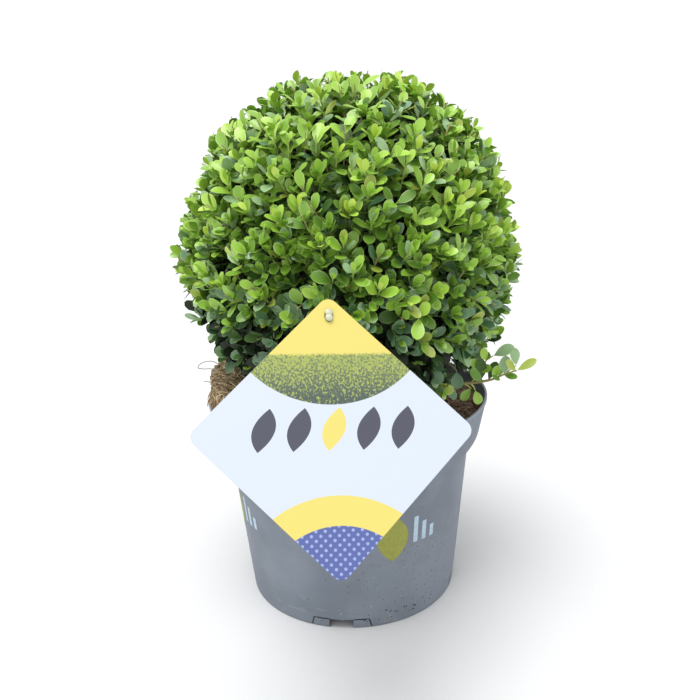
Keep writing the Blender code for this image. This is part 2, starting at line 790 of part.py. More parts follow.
def main():
    clear_scene()
    parts = new_collection("clipped_holly_ball")
    cutters = new_collection("cutters")
    plastic = material("pot", (0.168, 0.195, 0.235), 0.55)
    peat = material("root_ball", (0.20, 0.13, 0.075), 0.95)
    bark = material("bark", (0.30, 0.23, 0.15), 0.85)
    leaves = material("foliage", (0.10, 0.24, 0.04), 0.42)
    printed = material("label_card", (0.80, 0.90, 0.96), 0.35)
    clip = material("label_tie", (0.75, 0.77, 0.76), 0.40)

    make_pot(parts, cutters, plastic)
    make_root_ball(parts, peat)
    make_trunk(parts, bark)
    shapes = {"leaf": leaf_mesh(), "twig": twig_mesh()}
    ways = mass_directions()
    limbs = segments([trunk_point(TRUNK_FOOT), trunk_point(TRUNK_TOP)], [TRUNK_RADIUS])

    heights = {f"side_{index + 1}": height for index, height in enumerate(SIDE_BOUGH_HEIGHTS)}
    heights.update({f"upper_{index + 1}": height for index, height in enumerate(UPPER_BOUGH_HEIGHTS)})
    for name, way in ways.items():
        end = CROWN_MIDDLE + way * (STEM_FOOT - TOUCH_GAP)
        if name == "top":
            top = trunk_point(TRUNK_TOP) + Vector((0.0, 0.0, TOUCH_GAP))
            path = arch(top, Vector((0.0, 0.0, 1.0)), end, way)
        else:
            path = bough_path(heights[name], end, way)
        radii = bough_radii(len(path))
        limb(f"bough_{name}", path, radii, parts, bark, resolution=1)
        limbs += segments(path, radii)

    low_way = (LOW_SPRAY_PATH[1] - LOW_SPRAY_PATH[0]).normalized()
    path = bough_path(LOW_BOUGH_HEIGHT, LOW_SPRAY_PATH[0] - low_way * TOUCH_GAP, low_way)
    radii = bough_radii(len(path))
    limb("bough_low_right", path, radii, parts, bark, resolution=1)
    limbs += segments(path, radii) + segments(LOW_SPRAY_PATH, [BOUGH_TIP_RADIUS] * len(LOW_SPRAY_PATH))
    tie_foot = tie_start()
    limbs += segments([tie_foot, tie_hold()], [TIE_RADIUS])

    for name, way in ways.items():
        extra = []
        if name == "side_1":
            extra = [(tie_foot + Vector((0.0, TIE_TWIG_LENGTH, 0.0)), tie_foot)]
        make_mass(f"mass_{name}", Space(way, ways.values()), limbs, shapes, parts, leaves, extra)
    make_low_spray(shapes, parts, leaves)
    make_card(parts, printed)
    make_tie(parts, clip)


main()
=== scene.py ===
"""The looks of a clipped ball of small-leaved holly in a round nursery pot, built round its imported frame.

Metres, +Z up. The origin is the middle of the pot's underside, and a square card hangs on the -Y side.
"""

import json
import logging
import math
import random
from collections.abc import Callable, Iterator, Sequence
from dataclasses import dataclass, field
from enum import Enum

import bmesh
import bpy
import numpy as np
from mathutils import Matrix, Vector, noise

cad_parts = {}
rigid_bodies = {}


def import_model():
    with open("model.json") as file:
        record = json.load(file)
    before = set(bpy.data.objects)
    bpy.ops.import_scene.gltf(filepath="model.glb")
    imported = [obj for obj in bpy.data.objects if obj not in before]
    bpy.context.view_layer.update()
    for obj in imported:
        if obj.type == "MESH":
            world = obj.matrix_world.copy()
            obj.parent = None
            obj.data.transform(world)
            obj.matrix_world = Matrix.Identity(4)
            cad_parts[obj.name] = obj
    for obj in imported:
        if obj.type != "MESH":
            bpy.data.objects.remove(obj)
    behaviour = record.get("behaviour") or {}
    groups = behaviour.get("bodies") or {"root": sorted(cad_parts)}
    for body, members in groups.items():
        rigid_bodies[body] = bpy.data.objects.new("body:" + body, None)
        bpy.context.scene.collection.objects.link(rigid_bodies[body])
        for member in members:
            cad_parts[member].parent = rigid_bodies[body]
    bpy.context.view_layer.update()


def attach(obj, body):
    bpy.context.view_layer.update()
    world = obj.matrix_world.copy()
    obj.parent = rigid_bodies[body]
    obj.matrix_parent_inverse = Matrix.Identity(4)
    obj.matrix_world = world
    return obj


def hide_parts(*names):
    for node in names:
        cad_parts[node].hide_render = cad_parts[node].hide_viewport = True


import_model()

BODY = "root"
UP = Vector((0.0, 0.0, 1.0))
REPORT = logging.getLogger("holly_ball")

Colour = tuple[float, float, float, float]


def tint(red: int, green: int, blue: int) -> Colour:
    """Turns a colour as a screen shows it, 0 to 255, into the linear colour that a shader takes.

    Args:
        red: The red share.
        green: The green share.
        blue: The blue share.

    Returns:
        The linear colour with full alpha.
    """
    shares = (red / 255, green / 255, blue / 255)
    linear = [share / 12.92 if share <= 0.04045 else ((share + 0.055) / 1.055) ** 2.4 for share in shares]
    return (linear[0], linear[1], linear[2], 1.0)


def blend(low: float, high: float, share: float) -> float:
    """The value that lies this share of the way from low to high."""
    return low + (high - low) * share


def eased(share: float) -> float:
    """A share from 0 to 1 that starts and ends gently."""
    share = min(max(share, 0.0), 1.0)
    return share * share * (3.0 - 2.0 * share)


def direction(azimuth: float, tilt: float) -> Vector:
    """The unit vector at an azimuth and a tilt above the horizon, in radians."""
    flat = math.cos(tilt)
    return Vector((flat * math.cos(azimuth), flat * math.sin(azimuth), math.sin(tilt)))


def even_directions(count: int) -> Iterator[Vector]:
    """Directions spread evenly over the sphere by the golden angle.

    Args:
        count: How many directions the whole sphere has.

    Returns:
        The directions, from straight up to straight down.
    """
    golden = math.pi * (3.0 - math.sqrt(5.0))
    for index in range(count):
        yield direction(index * golden, math.asin(1.0 - 2.0 * (index + 0.5) / count))


def any_across(way: Vector, draw: random.Random) -> Vector:
    """A direction square to way, at a drawn turn round it."""
    return Matrix.Rotation(draw.uniform(0.0, math.tau), 3, way) @ way.orthogonal().normalized()


def splayed(way: Vector, side: Vector, angle: float) -> Vector:
    """The direction that leans from way towards side by this angle."""
    return (way * math.cos(angle) + side * math.sin(angle)).normalized()


class Value:
    """A number in a material, where an operator adds the Math node that works it out."""

    def __init__(self, paint: "Paint", socket: bpy.types.NodeSocket) -> None:
        """Wraps one output socket of a paint's tree."""
        self.paint = paint
        self.socket = socket

    def maths(self, operation: str, first: "Value | float", *others: "Value | float") -> "Value":
        """Adds one Math node.

        Args:
            operation: The node's operation.
            first: Its first value.
            others: Its second value, and its third where it has one.

        Returns:
            The node's result.
        """
        inputs = dict(enumerate((first, *others)))
        made = self.paint.node("ShaderNodeMath", {"operation": operation}, inputs)
        return Value(self.paint, made.outputs[0])

    def __add__(self, other: "Value | float") -> "Value":
        """Adds a value."""
        return self.maths("ADD", self, other)

    def __radd__(self, other: float) -> "Value":
        """Adds to a number."""
        return self.maths("ADD", other, self)

    def __sub__(self, other: "Value | float") -> "Value":
        """Takes a value away."""
        return self.maths("SUBTRACT", self, other)

    def __rsub__(self, other: float) -> "Value":
        """Takes this away from a number."""
        return self.maths("SUBTRACT", other, self)

    def __mul__(self, other: "Value | float") -> "Value":
        """Multiplies by a value."""
        return self.maths("MULTIPLY", self, other)

    def __rmul__(self, other: float) -> "Value":
        """Multiplies a number by this."""
        return self.maths("MULTIPLY", other, self)

    def __gt__(self, other: "Value | float") -> "Value":
        """One where this is greater, else nothing."""
        return self.maths("GREATER_THAN", self, other)

    def __lt__(self, other: "Value | float") -> "Value":
        """One where this is less, else nothing."""
        return self.maths("LESS_THAN", self, other)

    def __abs__(self) -> "Value":
        """The size without its sign."""
        return self.maths("ABSOLUTE", self)

    def wrapped(self, pitch: float) -> "Value":
        """The place within a repeat of this pitch, with nothing at its middle."""
        return self.maths("WRAP", self, pitch / 2, -pitch / 2)

    def lowest(self, other: "Value | float") -> "Value":
        """The smaller of the two."""
        return self.maths("MINIMUM", self, other)

    def highest(self, other: "Value | float") -> "Value":
        """The larger of the two."""
        return self.maths("MAXIMUM", self, other)

    def ramp(self, low: float, high: float) -> "Value":
        """A smooth rise from 0 at low to 1 at high.

        Args:
            low: Where the rise starts.
            high: Where it ends, which may be below low for a fall.

        Returns:
            The share from 0 to 1.
        """
        inputs = {"Value": self, "From Min": low, "From Max": high}
        made = self.paint.node("ShaderNodeMapRange", {"interpolation_type": "SMOOTHSTEP"}, inputs)
        return Value(self.paint, made.outputs["Result"])


class Paint:
    """A material whose nodes are added by short calls."""

    def __init__(self, name: str, roughness: float) -> None:
        """Starts a Principled material.

        Args:
            name: The material's name.
            roughness: Its roughness where nothing changes it.
        """
        self.material = bpy.data.materials.new(name)
        self.material.use_nodes = True
        self.tree = self.material.node_tree
        self.shader = self.tree.nodes["Principled BSDF"]
        self.shader.inputs["Roughness"].default_value = roughness

    def node(
        self, kind: str, settings: dict[str, object] | None = None, inputs: dict[object, object] | None = None
    ) -> bpy.types.Node:
        """Adds any node: its type first, then its settings, then what its sockets take.

        Args:
            kind: The node's type.
            settings: Attributes of the node, with "stops" for a ramp's list of (place, colour).
            inputs: A value, a Value or an output socket for each input, by name or index.

        Returns:
            The new node.
        """
        made = self.tree.nodes.new(kind)
        for name, value in (settings or {}).items():
            if name == "stops":
                self.set_stops(made, value)
            else:
                setattr(made, name, value)
        for name, value in (inputs or {}).items():
            self.feed(made.inputs[name], value)
        return made

    def set_stops(self, ramp: bpy.types.Node, stops: Sequence[tuple[float, Colour]]) -> None:
        """Gives a Color Ramp node its stops."""
        elements = ramp.color_ramp.elements
        while len(elements) < len(stops):
            elements.new(1.0)
        for element, (place, colour) in zip(elements, stops):
            element.position = place
            element.color = colour

    def feed(self, socket: bpy.types.NodeSocket, value: object) -> None:
        """Links a value or a socket to an input, or sets a constant on it."""
        if isinstance(value, Value):
            self.tree.links.new(value.socket, socket)
        elif isinstance(value, bpy.types.NodeSocket):
            self.tree.links.new(value, socket)
        else:
            socket.default_value = value

    def set(self, **constants: object) -> None:
        """Sets constants on the shader's own sockets, with _ for a space in a name."""
        for name, value in constants.items():
            self.shader.inputs[name.replace("_", " ").title()].default_value = value

    def place(self, frame_matrix: Matrix | None = None) -> tuple[Value, Value, Value]:
        """The place on the piece as X, Y and Z.

        Args:
            frame_matrix: The frame to read it in, or None for the object's own.

        Returns:
            The three numbers.
        """
        found = self.node("ShaderNodeTexCoord")
        spot = found.outputs["Object"]
        if frame_matrix is not None:
            inputs = {0: spot, "Location": frame_matrix.translation, "Rotation": frame_matrix.to_euler()}
            spot = self.node("ShaderNodeMapping", {"vector_type": "TEXTURE"}, inputs).outputs[0]
        split = self.node("ShaderNodeSeparateXYZ", None, {0: spot})
        return (Value(self, split.outputs[0]), Value(self, split.outputs[1]), Value(self, split.outputs[2]))

    def noise(self, scale: float, detail: float = 3.0, stretch: Sequence[float] = (1.0, 1.0, 1.0)) -> Value:
        """A noise over the piece.

        Args:
            scale: How many lumps there are in a metre.
            detail: How many finer layers it has.
            stretch: The scale along each axis.

        Returns:
            The noise, from about 0 to 1.
        """
        found = self.node("ShaderNodeTexCoord")
        spread = self.node("ShaderNodeMapping", None, {0: found.outputs["Object"], "Scale": stretch})
        inputs = {"Vector": spread.outputs[0], "Scale": scale, "Detail": detail}
        made = self.node("ShaderNodeTexNoise", {"noise_dimensions": "3D"}, inputs)
        return Value(self, made.outputs[0])

    def mix(self, share: Value | float, low: object, high: object) -> bpy.types.NodeSocket:
        """Mixes two colours.

        Args:
            share: 0 for low and 1 for high.
            low: A colour or a colour's socket.
            high: A colour or a colour's socket.

        Returns:
            The socket of the mixed colour.
        """
        made = self.node("ShaderNodeMix", {"data_type": "RGBA"}, {0: share, 6: low, 7: high})
        return made.outputs[2]

    def base(self, colour: object) -> None:
        """Gives the shader its base colour."""
        self.feed(self.shader.inputs["Base Color"], colour)

    def rough(self, value: Value | float) -> None:
        """Gives the shader its roughness."""
        self.feed(self.shader.inputs["Roughness"], value)

    def bump(self, height: Value, depth: float, strength: float = 1.0) -> None:
        """Raises the surface by a value, in shading alone.

        Args:
            height: The height, from 0 to 1.
            depth: How far 1 stands out, in metres.
            strength: How much of it shows.
        """
        made = self.node("ShaderNodeBump", None, {"Height": height, "Distance": depth, "Strength": strength})
        self.feed(self.shader.inputs["Normal"], made.outputs[0])


class Tone(Enum):
    """The colours of the leaves, from a shoot's youngest to its oldest, whose darker end also serves as painted shade
    deep in the ball and low on it; then three that stray from the row: a pale bluish painted sheen, a dark bluish
    painted shade with a painted sheen, and a plain olive.
    """

    YOUNG = tint(172, 200, 70)
    FRESH = tint(154, 192, 68)
    LIVELY = tint(142, 184, 60)
    MIDDLE = tint(126, 168, 54)
    FULL = tint(98, 140, 44)
    # The two darkest tones also serve as painted shade for leaves inside the ball.
    DEEP = tint(54, 88, 22)
    DARK = tint(22, 38, 9)
    # Painted sheen: a pale bluish leaf colour that stands for the sky's reflection.
    COOL = tint(140, 172, 124)
    # Painted shade and sheen: a dark bluish colour for leaves low on the ball.
    BLUE = tint(86, 124, 84)
    OLIVE = tint(150, 168, 62)


# The row by age, whose darker tones also serve as painted shade.
AGES_AND_SHADES = (Tone.YOUNG, Tone.FRESH, Tone.LIVELY, Tone.MIDDLE, Tone.FULL, Tone.DEEP, Tone.DARK)


@dataclass(frozen=True)
class LeafFinish:
    """The waxy finish of one tone of leaf, and the paler line round its edge."""

    tone: Tone
    roughness: float = 0.40
    wax: float = 0.25
    wax_roughness: float = 0.30
    edge_lift: float = 0.30

    def blade(self) -> bpy.types.Material:
        """The material of the blade."""
        return self.dressed(f"leaf_{self.tone.name.lower()}", self.tone.value)

    def edge(self) -> bpy.types.Material:
        """The material of the thin paler edge."""
        lift = self.edge_lift * min(self.tone.value[1] / Tone.FULL.value[1], 1.0) ** 2
        pale = tuple(blend(share, light, lift) for share, light in zip(self.tone.value, tint(226, 236, 170)))
        return self.dressed(f"leaf_edge_{self.tone.name.lower()}", pale)

    def dressed(self, name: str, colour: Colour) -> bpy.types.Material:
        """A leaf's material in one colour."""
        inner = self.tone in (Tone.DEEP, Tone.DARK)
        paint = Paint(name, self.roughness + (0.2 if inner else 0.0))
        paint.base(colour)
        paint.set(coat_weight=0.0 if inner else self.wax, coat_roughness=self.wax_roughness)
        return paint.material


LeafDress = dict[Tone, tuple[bpy.types.Material, bpy.types.Material]]


def leaf_dress() -> LeafDress:
    """The materials of the blade and the edge, for each tone."""
    return {tone: (LeafFinish(tone).blade(), LeafFinish(tone).edge()) for tone in Tone}


@dataclass(frozen=True)
class TwigFinish:
    """The finish of shoots and twigs: a plain colour, as they are too thin for more."""

    name: str
    colour: Colour
    roughness: float = 0.7

    def build(self) -> bpy.types.Material:
        """The twig's material."""
        paint = Paint(self.name, self.roughness)
        paint.base(self.colour)
        return paint.material


@dataclass(frozen=True)
class BarkFinish:
    """Grey-brown bark with long fissures and pale flecks."""

    light: Colour = tint(158, 138, 110)
    dark: Colour = tint(92, 76, 58)
    roughness: float = 0.85

    def build(self) -> bpy.types.Material:
        """The bark's material."""
        paint = Paint("bark", self.roughness)
        streaks = paint.noise(420.0, 5.0, (1.0, 1.0, 0.22))
        flecks = paint.noise(900.0, 2.0)
        paint.base(paint.mix(streaks.ramp(0.36, 0.66), self.dark, self.light))
        paint.rough(self.roughness - 0.15 * flecks)
        paint.bump(streaks + 0.4 * flecks, 0.0012, 0.8)
        return paint.material


@dataclass(frozen=True)
class PotFinish:
    """Blue-grey moulded plastic, dusty at the foot, rubbed pale on its lip with a painted highlight there too, and with
    painted shade in the grooves of its foot.
    """

    light: Colour = tint(122, 130, 141)
    dark: Colour = tint(108, 116, 127)
    rubbed_and_highlit: Colour = tint(140, 149, 160)
    dust: Colour = tint(132, 137, 142)
    # Painted shade for the grooves of the foot.
    groove_shade: Colour = tint(46, 50, 58)
    roughness: float = 0.55

    def build_groove_shade(self) -> bpy.types.Material:
        """The painted shade in the foot's grooves: a dark plain material."""
        return PlainFinish("pot_groove_shade", self.groove_shade, 0.8).build()

    def build(self) -> bpy.types.Material:
        """The pot's material."""
        paint = Paint("pot_plastic", self.roughness)
        _, _, height = paint.place()
        cloud = paint.noise(16.0, 4.0)
        colour = paint.mix(cloud.ramp(0.35, 0.65), self.dark, self.light)
        # Wear and painted highlight: the top band of the lip is paler.
        lip = height.ramp(0.1885, 0.1912)
        colour = paint.mix(lip * 0.65, colour, self.rubbed_and_highlit)
        scuff = paint.noise(60.0, 6.0, (1.0, 1.0, 3.0)).ramp(0.56, 0.74)
        low = height.ramp(0.055, 0.004)
        colour = paint.mix(scuff * (0.15 + 0.55 * low), colour, self.dust)
        paint.base(colour)
        grain = paint.noise(1500.0, 2.0)
        paint.rough(self.roughness + 0.16 * cloud - 0.12 * lip)
        paint.bump(grain, 0.00025, 0.35)
        return paint.material


@dataclass(frozen=True)
class SoilFinish:
    """Root-bound peat: tan and fibrous where it stands up, dark and crumbly where it is low."""

    fibre: Colour = tint(162, 138, 102)
    peat: Colour = tint(152, 122, 98)
    shade: Colour = tint(74, 58, 46)

    def build(self) -> bpy.types.Material:
        """The root ball's material."""
        paint = Paint("root_mat", 0.95)
        across, _, _ = paint.place()
        threads = paint.noise(560.0, 6.0)
        crumbs = paint.noise(260.0, 5.0)
        ground = paint.mix(crumbs.ramp(0.35, 0.65), self.shade, self.peat)
        matted = paint.mix(threads.ramp(0.40, 0.64), self.shade, self.fibre)
        paint.base(paint.mix(across.ramp(-0.01, -0.06), ground, matted))
        paint.bump(threads + crumbs, 0.0016, 0.9)
        return paint.material


@dataclass(frozen=True)
class CardFinish:
    """A glossy printed card: a leafy dish under a yellow sky, a row of plain leaves and two arches at its foot."""

    frame_matrix: Matrix
    ground: Colour = tint(185, 193, 206)
    yellow: Colour = tint(202, 188, 97)
    slate: Colour = tint(62, 64, 78)
    hedge_light: Colour = tint(144, 156, 74)
    hedge_dark: Colour = tint(58, 72, 70)
    hedge_far: Colour = tint(100, 114, 76)
    blue: Colour = tint(74, 86, 142)
    dots: Colour = tint(134, 150, 196)
    sky_level: float = 0.0560
    dish_middle: float = 0.0980
    dish_radius: float = 0.0780
    arch_middle: float = -0.1170
    arch_radius: float = 0.0750
    dotted_radius: float = 0.0550
    row_level: float = 0.0030
    row_pitch: float = 0.0240
    row_leaves: int = 5
    leaf_half: float = 0.0078
    leaf_tall: float = 0.0150
    leaf_slant: float = 0.30
    dot_pitch: float = 0.0062

    def build(self) -> bpy.types.Material:
        """The card's material, read in the card's own frame."""
        paint = Paint("card_print", 0.32)
        across, _, up = paint.place(self.frame_matrix)
        colour = self.leaf_row(paint, across, up)
        colour = paint.mix(self.in_circle(across, up, self.dish_middle, self.dish_radius), colour, self.hedge(paint, up))
        fuzz = up - 0.0070 * paint.noise(900.0, 5.0) - self.sky_level + 0.0035
        colour = paint.mix(fuzz.ramp(-0.0009, 0.0009), colour, self.yellow)
        colour = paint.mix(self.in_circle(across, up, self.arch_middle, self.arch_radius), colour, self.yellow)
        dotted = self.in_circle(across, up, self.arch_middle, self.dotted_radius)
        paint.base(paint.mix(dotted, colour, self.dotted(paint, across, up)))
        paint.set(coat_weight=0.3, coat_roughness=0.15)
        paint.rough(0.30 + 0.06 * paint.noise(40.0, 2.0))
        return paint.material

    def in_circle(self, across: Value, up: Value, middle: float, radius: float) -> Value:
        """One inside a circle on the card's upright middle line, else nothing.

        Args:
            across: The place across the card.
            up: The place up the card.
            middle: The height of the circle's middle.
            radius: The circle's radius.

        Returns:
            One or nothing.
        """
        rise = up - middle
        return across * across + rise * rise < radius * radius

    def leaf_row(self, paint: Paint, across: Value, up: Value) -> bpy.types.NodeSocket:
        """The pale ground with a row of slanting leaves, the middle one yellow.

        Args:
            paint: The card's paint.
            across: The place across the card.
            up: The place up the card.

        Returns:
            The colour of the ground and the row.
        """
        rise = up - self.row_level
        share = rise * (1.0 / self.leaf_tall)
        slanted = across - self.leaf_slant * rise
        leaf = abs(slanted.wrapped(self.row_pitch)) < self.leaf_half * (1.0 - share * share)
        leaf = leaf * (abs(slanted) < self.row_pitch * self.row_leaves / 2)
        middle = abs(slanted) < self.row_pitch / 2
        return paint.mix(leaf, self.ground, paint.mix(middle, self.slate, self.yellow))

    def hedge(self, paint: Paint, up: Value) -> bpy.types.NodeSocket:
        """The leafy texture of the dish, lighter towards its top.

        Args:
            paint: The card's paint.
            up: The place up the card.

        Returns:
            The texture's colour.
        """
        rise = up.ramp(0.018, self.sky_level)
        leaves = paint.noise(760.0, 3.0, (1.0, 1.0, 0.7)) + 0.13 * rise
        ground = paint.mix(rise, self.hedge_dark, self.hedge_far)
        return paint.mix(leaves.ramp(0.53, 0.67), ground, self.hedge_light)

    def dotted(self, paint: Paint, across: Value, up: Value) -> bpy.types.NodeSocket:
        """Blue with rows of pale dots.

        Args:
            paint: The card's paint.
            across: The place across the card.
            up: The place up the card.

        Returns:
            The colour of the dotted arch.
        """
        row, post = (across + up).wrapped(self.dot_pitch), (across - up).wrapped(self.dot_pitch)
        radius = 0.24 * self.dot_pitch
        return paint.mix(row * row + post * post < radius * radius, self.blue, self.dots)


@dataclass(frozen=True)
class PlainFinish:
    """A smooth finish in one colour with a faint mottle."""

    name: str
    colour: Colour
    roughness: float = 0.5
    mottle: float = 0.10

    def build(self) -> bpy.types.Material:
        """The finish's material."""
        paint = Paint(self.name, self.roughness)
        dull = tuple(share * (1.0 - self.mottle) for share in self.colour[:3]) + (1.0,)
        paint.base(paint.mix(paint.noise(300.0, 3.0).ramp(0.4, 0.6), dull, self.colour))
        return paint.material


def new_piece(
    name: str, points: np.ndarray, faces: Sequence[Sequence[int]], materials: Sequence[bpy.types.Material],
    slots: Sequence[int] | None = None, sharp: float | None = None,
) -> bpy.types.Object:
    """Makes an object from points and faces.

    Args:
        name: The object's name.
        points: One row of X, Y and Z for each point.
        faces: The points of each face.
        materials: The object's materials.
        slots: The material's index for each face.
        sharp: The angle over which an edge is sharp, or None for all smooth.

    Returns:
        The new object.
    """
    mesh = bpy.data.meshes.new(name)
    corners = np.fromiter((corner for face in faces for corner in face), np.int32)
    sizes = np.fromiter((len(face) for face in faces), np.int32)
    return piece_from_arrays(mesh, points, corners, sizes, materials, slots, sharp)


def piece_from_arrays(
    mesh: bpy.types.Mesh, points: np.ndarray, corners: np.ndarray, sizes: np.ndarray,
    materials: Sequence[bpy.types.Material], slots: Sequence[int] | None, sharp: float | None,
) -> bpy.types.Object:
    """Fills an empty mesh from arrays and places it in the scene.

    Args:
        mesh: The empty mesh, whose name the object takes.
        points: One row of X, Y and Z for each point.
        corners: The point of each face's corner, face after face.
        sizes: How many corners each face has.
        materials: The object's materials.
        slots: The material's index for each face.
        sharp: The angle over which an edge is sharp, or None for all smooth.

    Returns:
        The new object.
    """
    mesh.vertices.add(len(points))
    mesh.vertices.foreach_set("co", np.asarray(points, np.float32).ravel())
    mesh.loops.add(len(corners))
    mesh.loops.foreach_set("vertex_index", np.asarray(corners, np.int32))
    mesh.polygons.add(len(sizes))
    starts = np.concatenate(([0], np.cumsum(sizes)[:-1])).astype(np.int32)
    mesh.polygons.foreach_set("loop_start", starts)
    for material in materials:
        mesh.materials.append(material)
    if slots is not None:
        mesh.polygons.foreach_set("material_index", np.asarray(slots, np.int32))
    mesh.update(calc_edges=True)
    mesh.validate()
    mesh.shade_smooth()
    if sharp is not None:
        mesh.set_sharp_from_angle(angle=sharp)
    made = bpy.data.objects.new(mesh.name, mesh)
    bpy.context.scene.collection.objects.link(made)
    return made


def hand_over(piece: bpy.types.Object, slot: str, *nodes: str) -> bpy.types.Object:
    """Lets a piece ride on the plant and stand for its nodes, and reports it with its slot.

    Args:
        piece: The finished piece.
        slot: The record's material slot.
        nodes: The nodes that the piece stands for.

    Returns:
        The same piece.
    """
    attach(piece, BODY)
    if nodes:
        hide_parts(*nodes)
    triangles = sum(len(face.vertices) - 2 for face in piece.data.polygons)
    REPORT.info("%s: %d triangles, slot %s, stands for %s", piece.name, triangles, slot, ", ".join(nodes) or "nothing")
    return piece


def turned(profile: Sequence[tuple[float, float]], steps: int) -> tuple[np.ndarray, list[tuple[int, ...]]]:
    """Turns a profile about the Z axis.

    Args:
        profile: Points of (radius, height), up the inside and down the outside, with both ends on the axis.
        steps: How many steps the full turn has.

    Returns:
        The points, and the faces with their fronts outwards.
    """
    rings = profile[1:-1]
    angles = np.arange(steps) * math.tau / steps
    points = [(0.0, 0.0, profile[0][1])]
    for radius, height in rings:
        points += [(radius * math.cos(angle), radius * math.sin(angle), height) for angle in angles]
    points.append((0.0, 0.0, profile[-1][1]))
    faces = []
    last = len(points) - 1
    for step in range(steps):
        following = (step + 1) % steps
        faces.append((0, 1 + step, 1 + following))
        for ring in range(len(rings) - 1):
            low, high = 1 + ring * steps, 1 + (ring + 1) * steps
            faces.append((low + step, high + step, high + following, low + following))
        end = 1 + (len(rings) - 1) * steps
        faces.append((end + step, last, end + following))
    return np.array(points), faces


def fillet(before: Vector, corner: Vector, after: Vector, radius: float, steps: int = 4) -> list[tuple[float, float]]:
    """Rounds one corner of a profile.

    Args:
        before: The point before the corner.
        corner: The corner.
        after: The point after it.
        radius: How far from the corner the round starts, on each side.
        steps: How many steps the round has.

    Returns:
        The points of the round.
    """
    start = corner + (before - corner).normalized() * radius
    end = corner + (after - corner).normalized() * radius
    points = []
    for step in range(steps + 1):
        t = step / steps
        spot = start * (1 - t) ** 2 + corner * 2 * t * (1 - t) + end * t * t
        points.append((spot.x, spot.y))
    return points


class Tubes:
    """Round tapering limbs gathered into one mesh."""

    def __init__(self) -> None:
        """Starts with no limb."""
        self.points: list[np.ndarray] = []
        self.faces: list[tuple[int, ...]] = []
        self.slots: list[int] = []
        self.count = 0

    def add(
        self, path: Sequence[Vector], radii: Sequence[float], sides: int, slot: int = 0,
        relief: Callable[[np.ndarray], np.ndarray] | None = None,
    ) -> None:
        """Adds one limb with closed ends.

        Args:
            path: The points that its middle follows.
            radii: Its radius at each of them.
            sides: How many sides it has.
            slot: The material's index.
            relief: Scales the radius at each of the limb's surface points, if given.
        """
        spine = np.array([tuple(point) for point in path])
        along = np.gradient(spine, axis=0)
        along /= np.linalg.norm(along, axis=1, keepdims=True) + 1e-12
        across = np.array(tuple(Vector(along[0]).orthogonal().normalized()))
        turns = np.arange(sides) * math.tau / sides
        rings = []
        for middle, tangent, radius in zip(spine, along, radii):
            across = across - tangent * across.dot(tangent)
            across /= np.linalg.norm(across) + 1e-12
            up = np.cross(tangent, across)
            ring = np.outer(np.cos(turns), across) + np.outer(np.sin(turns), up)
            shares = np.ones(sides) if relief is None else relief(middle + ring * radius)
            rings.append(middle + ring * (radius * shares)[:, None])
        self.points += rings + [spine[:1], spine[-1:]]
        first, ends = self.count, self.count + len(rings) * sides
        for side in range(sides):
            following = (side + 1) % sides
            self.faces.append((ends, first + following, first + side))
            for ring in range(len(rings) - 1):
                low, high = first + ring * sides, first + (ring + 1) * sides
                self.faces.append((low + side, low + following, high + following, high + side))
            top = first + (len(rings) - 1) * sides
            self.faces.append((top + side, top + following, ends + 1))
        self.slots += [slot] * (len(self.faces) - len(self.slots))
        self.count = ends + 2

    def build(self, name: str, materials: Sequence[bpy.types.Material]) -> bpy.types.Object:
        """Makes the gathered limbs one object."""
        return new_piece(name, np.concatenate(self.points), self.faces, materials, self.slots, math.radians(60))


def curve_points(knots: Sequence[Vector], steps: int) -> list[Vector]:
    """Points along the cubic curve of four knots.

    Args:
        knots: The curve's four control points.
        steps: How many stretches it is cut into.

    Returns:
        One more point than there are stretches.
    """
    points = []
    for step in range(steps + 1):
        t = step / steps
        weights = ((1 - t) ** 3, 3 * t * (1 - t) ** 2, 3 * t * t * (1 - t), t**3)
        points.append(sum((knot * weight for knot, weight in zip(knots, weights)), Vector()))
    return points


def smooth_way(knots: Sequence[Vector]) -> list[Vector]:
    """A smooth way through the knots, each stretch cut in five."""
    points = []
    for index, (start, end) in enumerate(zip(knots, knots[1:])):
        before = knots[max(index - 1, 0)]
        after = knots[min(index + 2, len(knots) - 1)]
        lean_in, lean_out = (end - before) / 6, (after - start) / 6
        points += curve_points((start, start + lean_in, end - lean_out, end), 5)[:-1]
    return points + [knots[-1]]


@dataclass(frozen=True)
class LeafPattern:
    """A leaf's outline as rows of points across it, for a blade that is one unit long."""

    rows: tuple[tuple[float, float], ...]
    columns: tuple[float, ...]
    edged: bool

    def grid(self) -> np.ndarray:
        """The points as rows of (share of the half-width, share of the length)."""
        points = [(0.0, 0.0)]
        for along, wide in self.rows:
            points += [(column * wide, along) for column in self.columns]
        return np.array(points + [(0.0, 1.0)])

    def faces(self) -> list[tuple[int, ...]]:
        """The faces, seen with their fronts up."""
        wide = len(self.columns)
        tip = 1 + len(self.rows) * wide
        faces: list[tuple[int, ...]] = []
        for column in range(wide - 1):
            faces.append((0, 2 + column, 1 + column))
            for row in range(len(self.rows) - 1):
                low, high = 1 + row * wide + column, 1 + (row + 1) * wide + column
                faces.append((low, low + 1, high + 1, high))
            top = 1 + (len(self.rows) - 1) * wide + column
            faces.append((top, top + 1, tip))
        return faces

    def edge_faces(self) -> list[bool]:
        """Which of the faces lie in the paler edge."""
        each = len(self.rows) + 1
        last = len(self.columns) - 2
        return [self.edged and column in (0, last) for column in range(last + 1) for _ in range(each)]


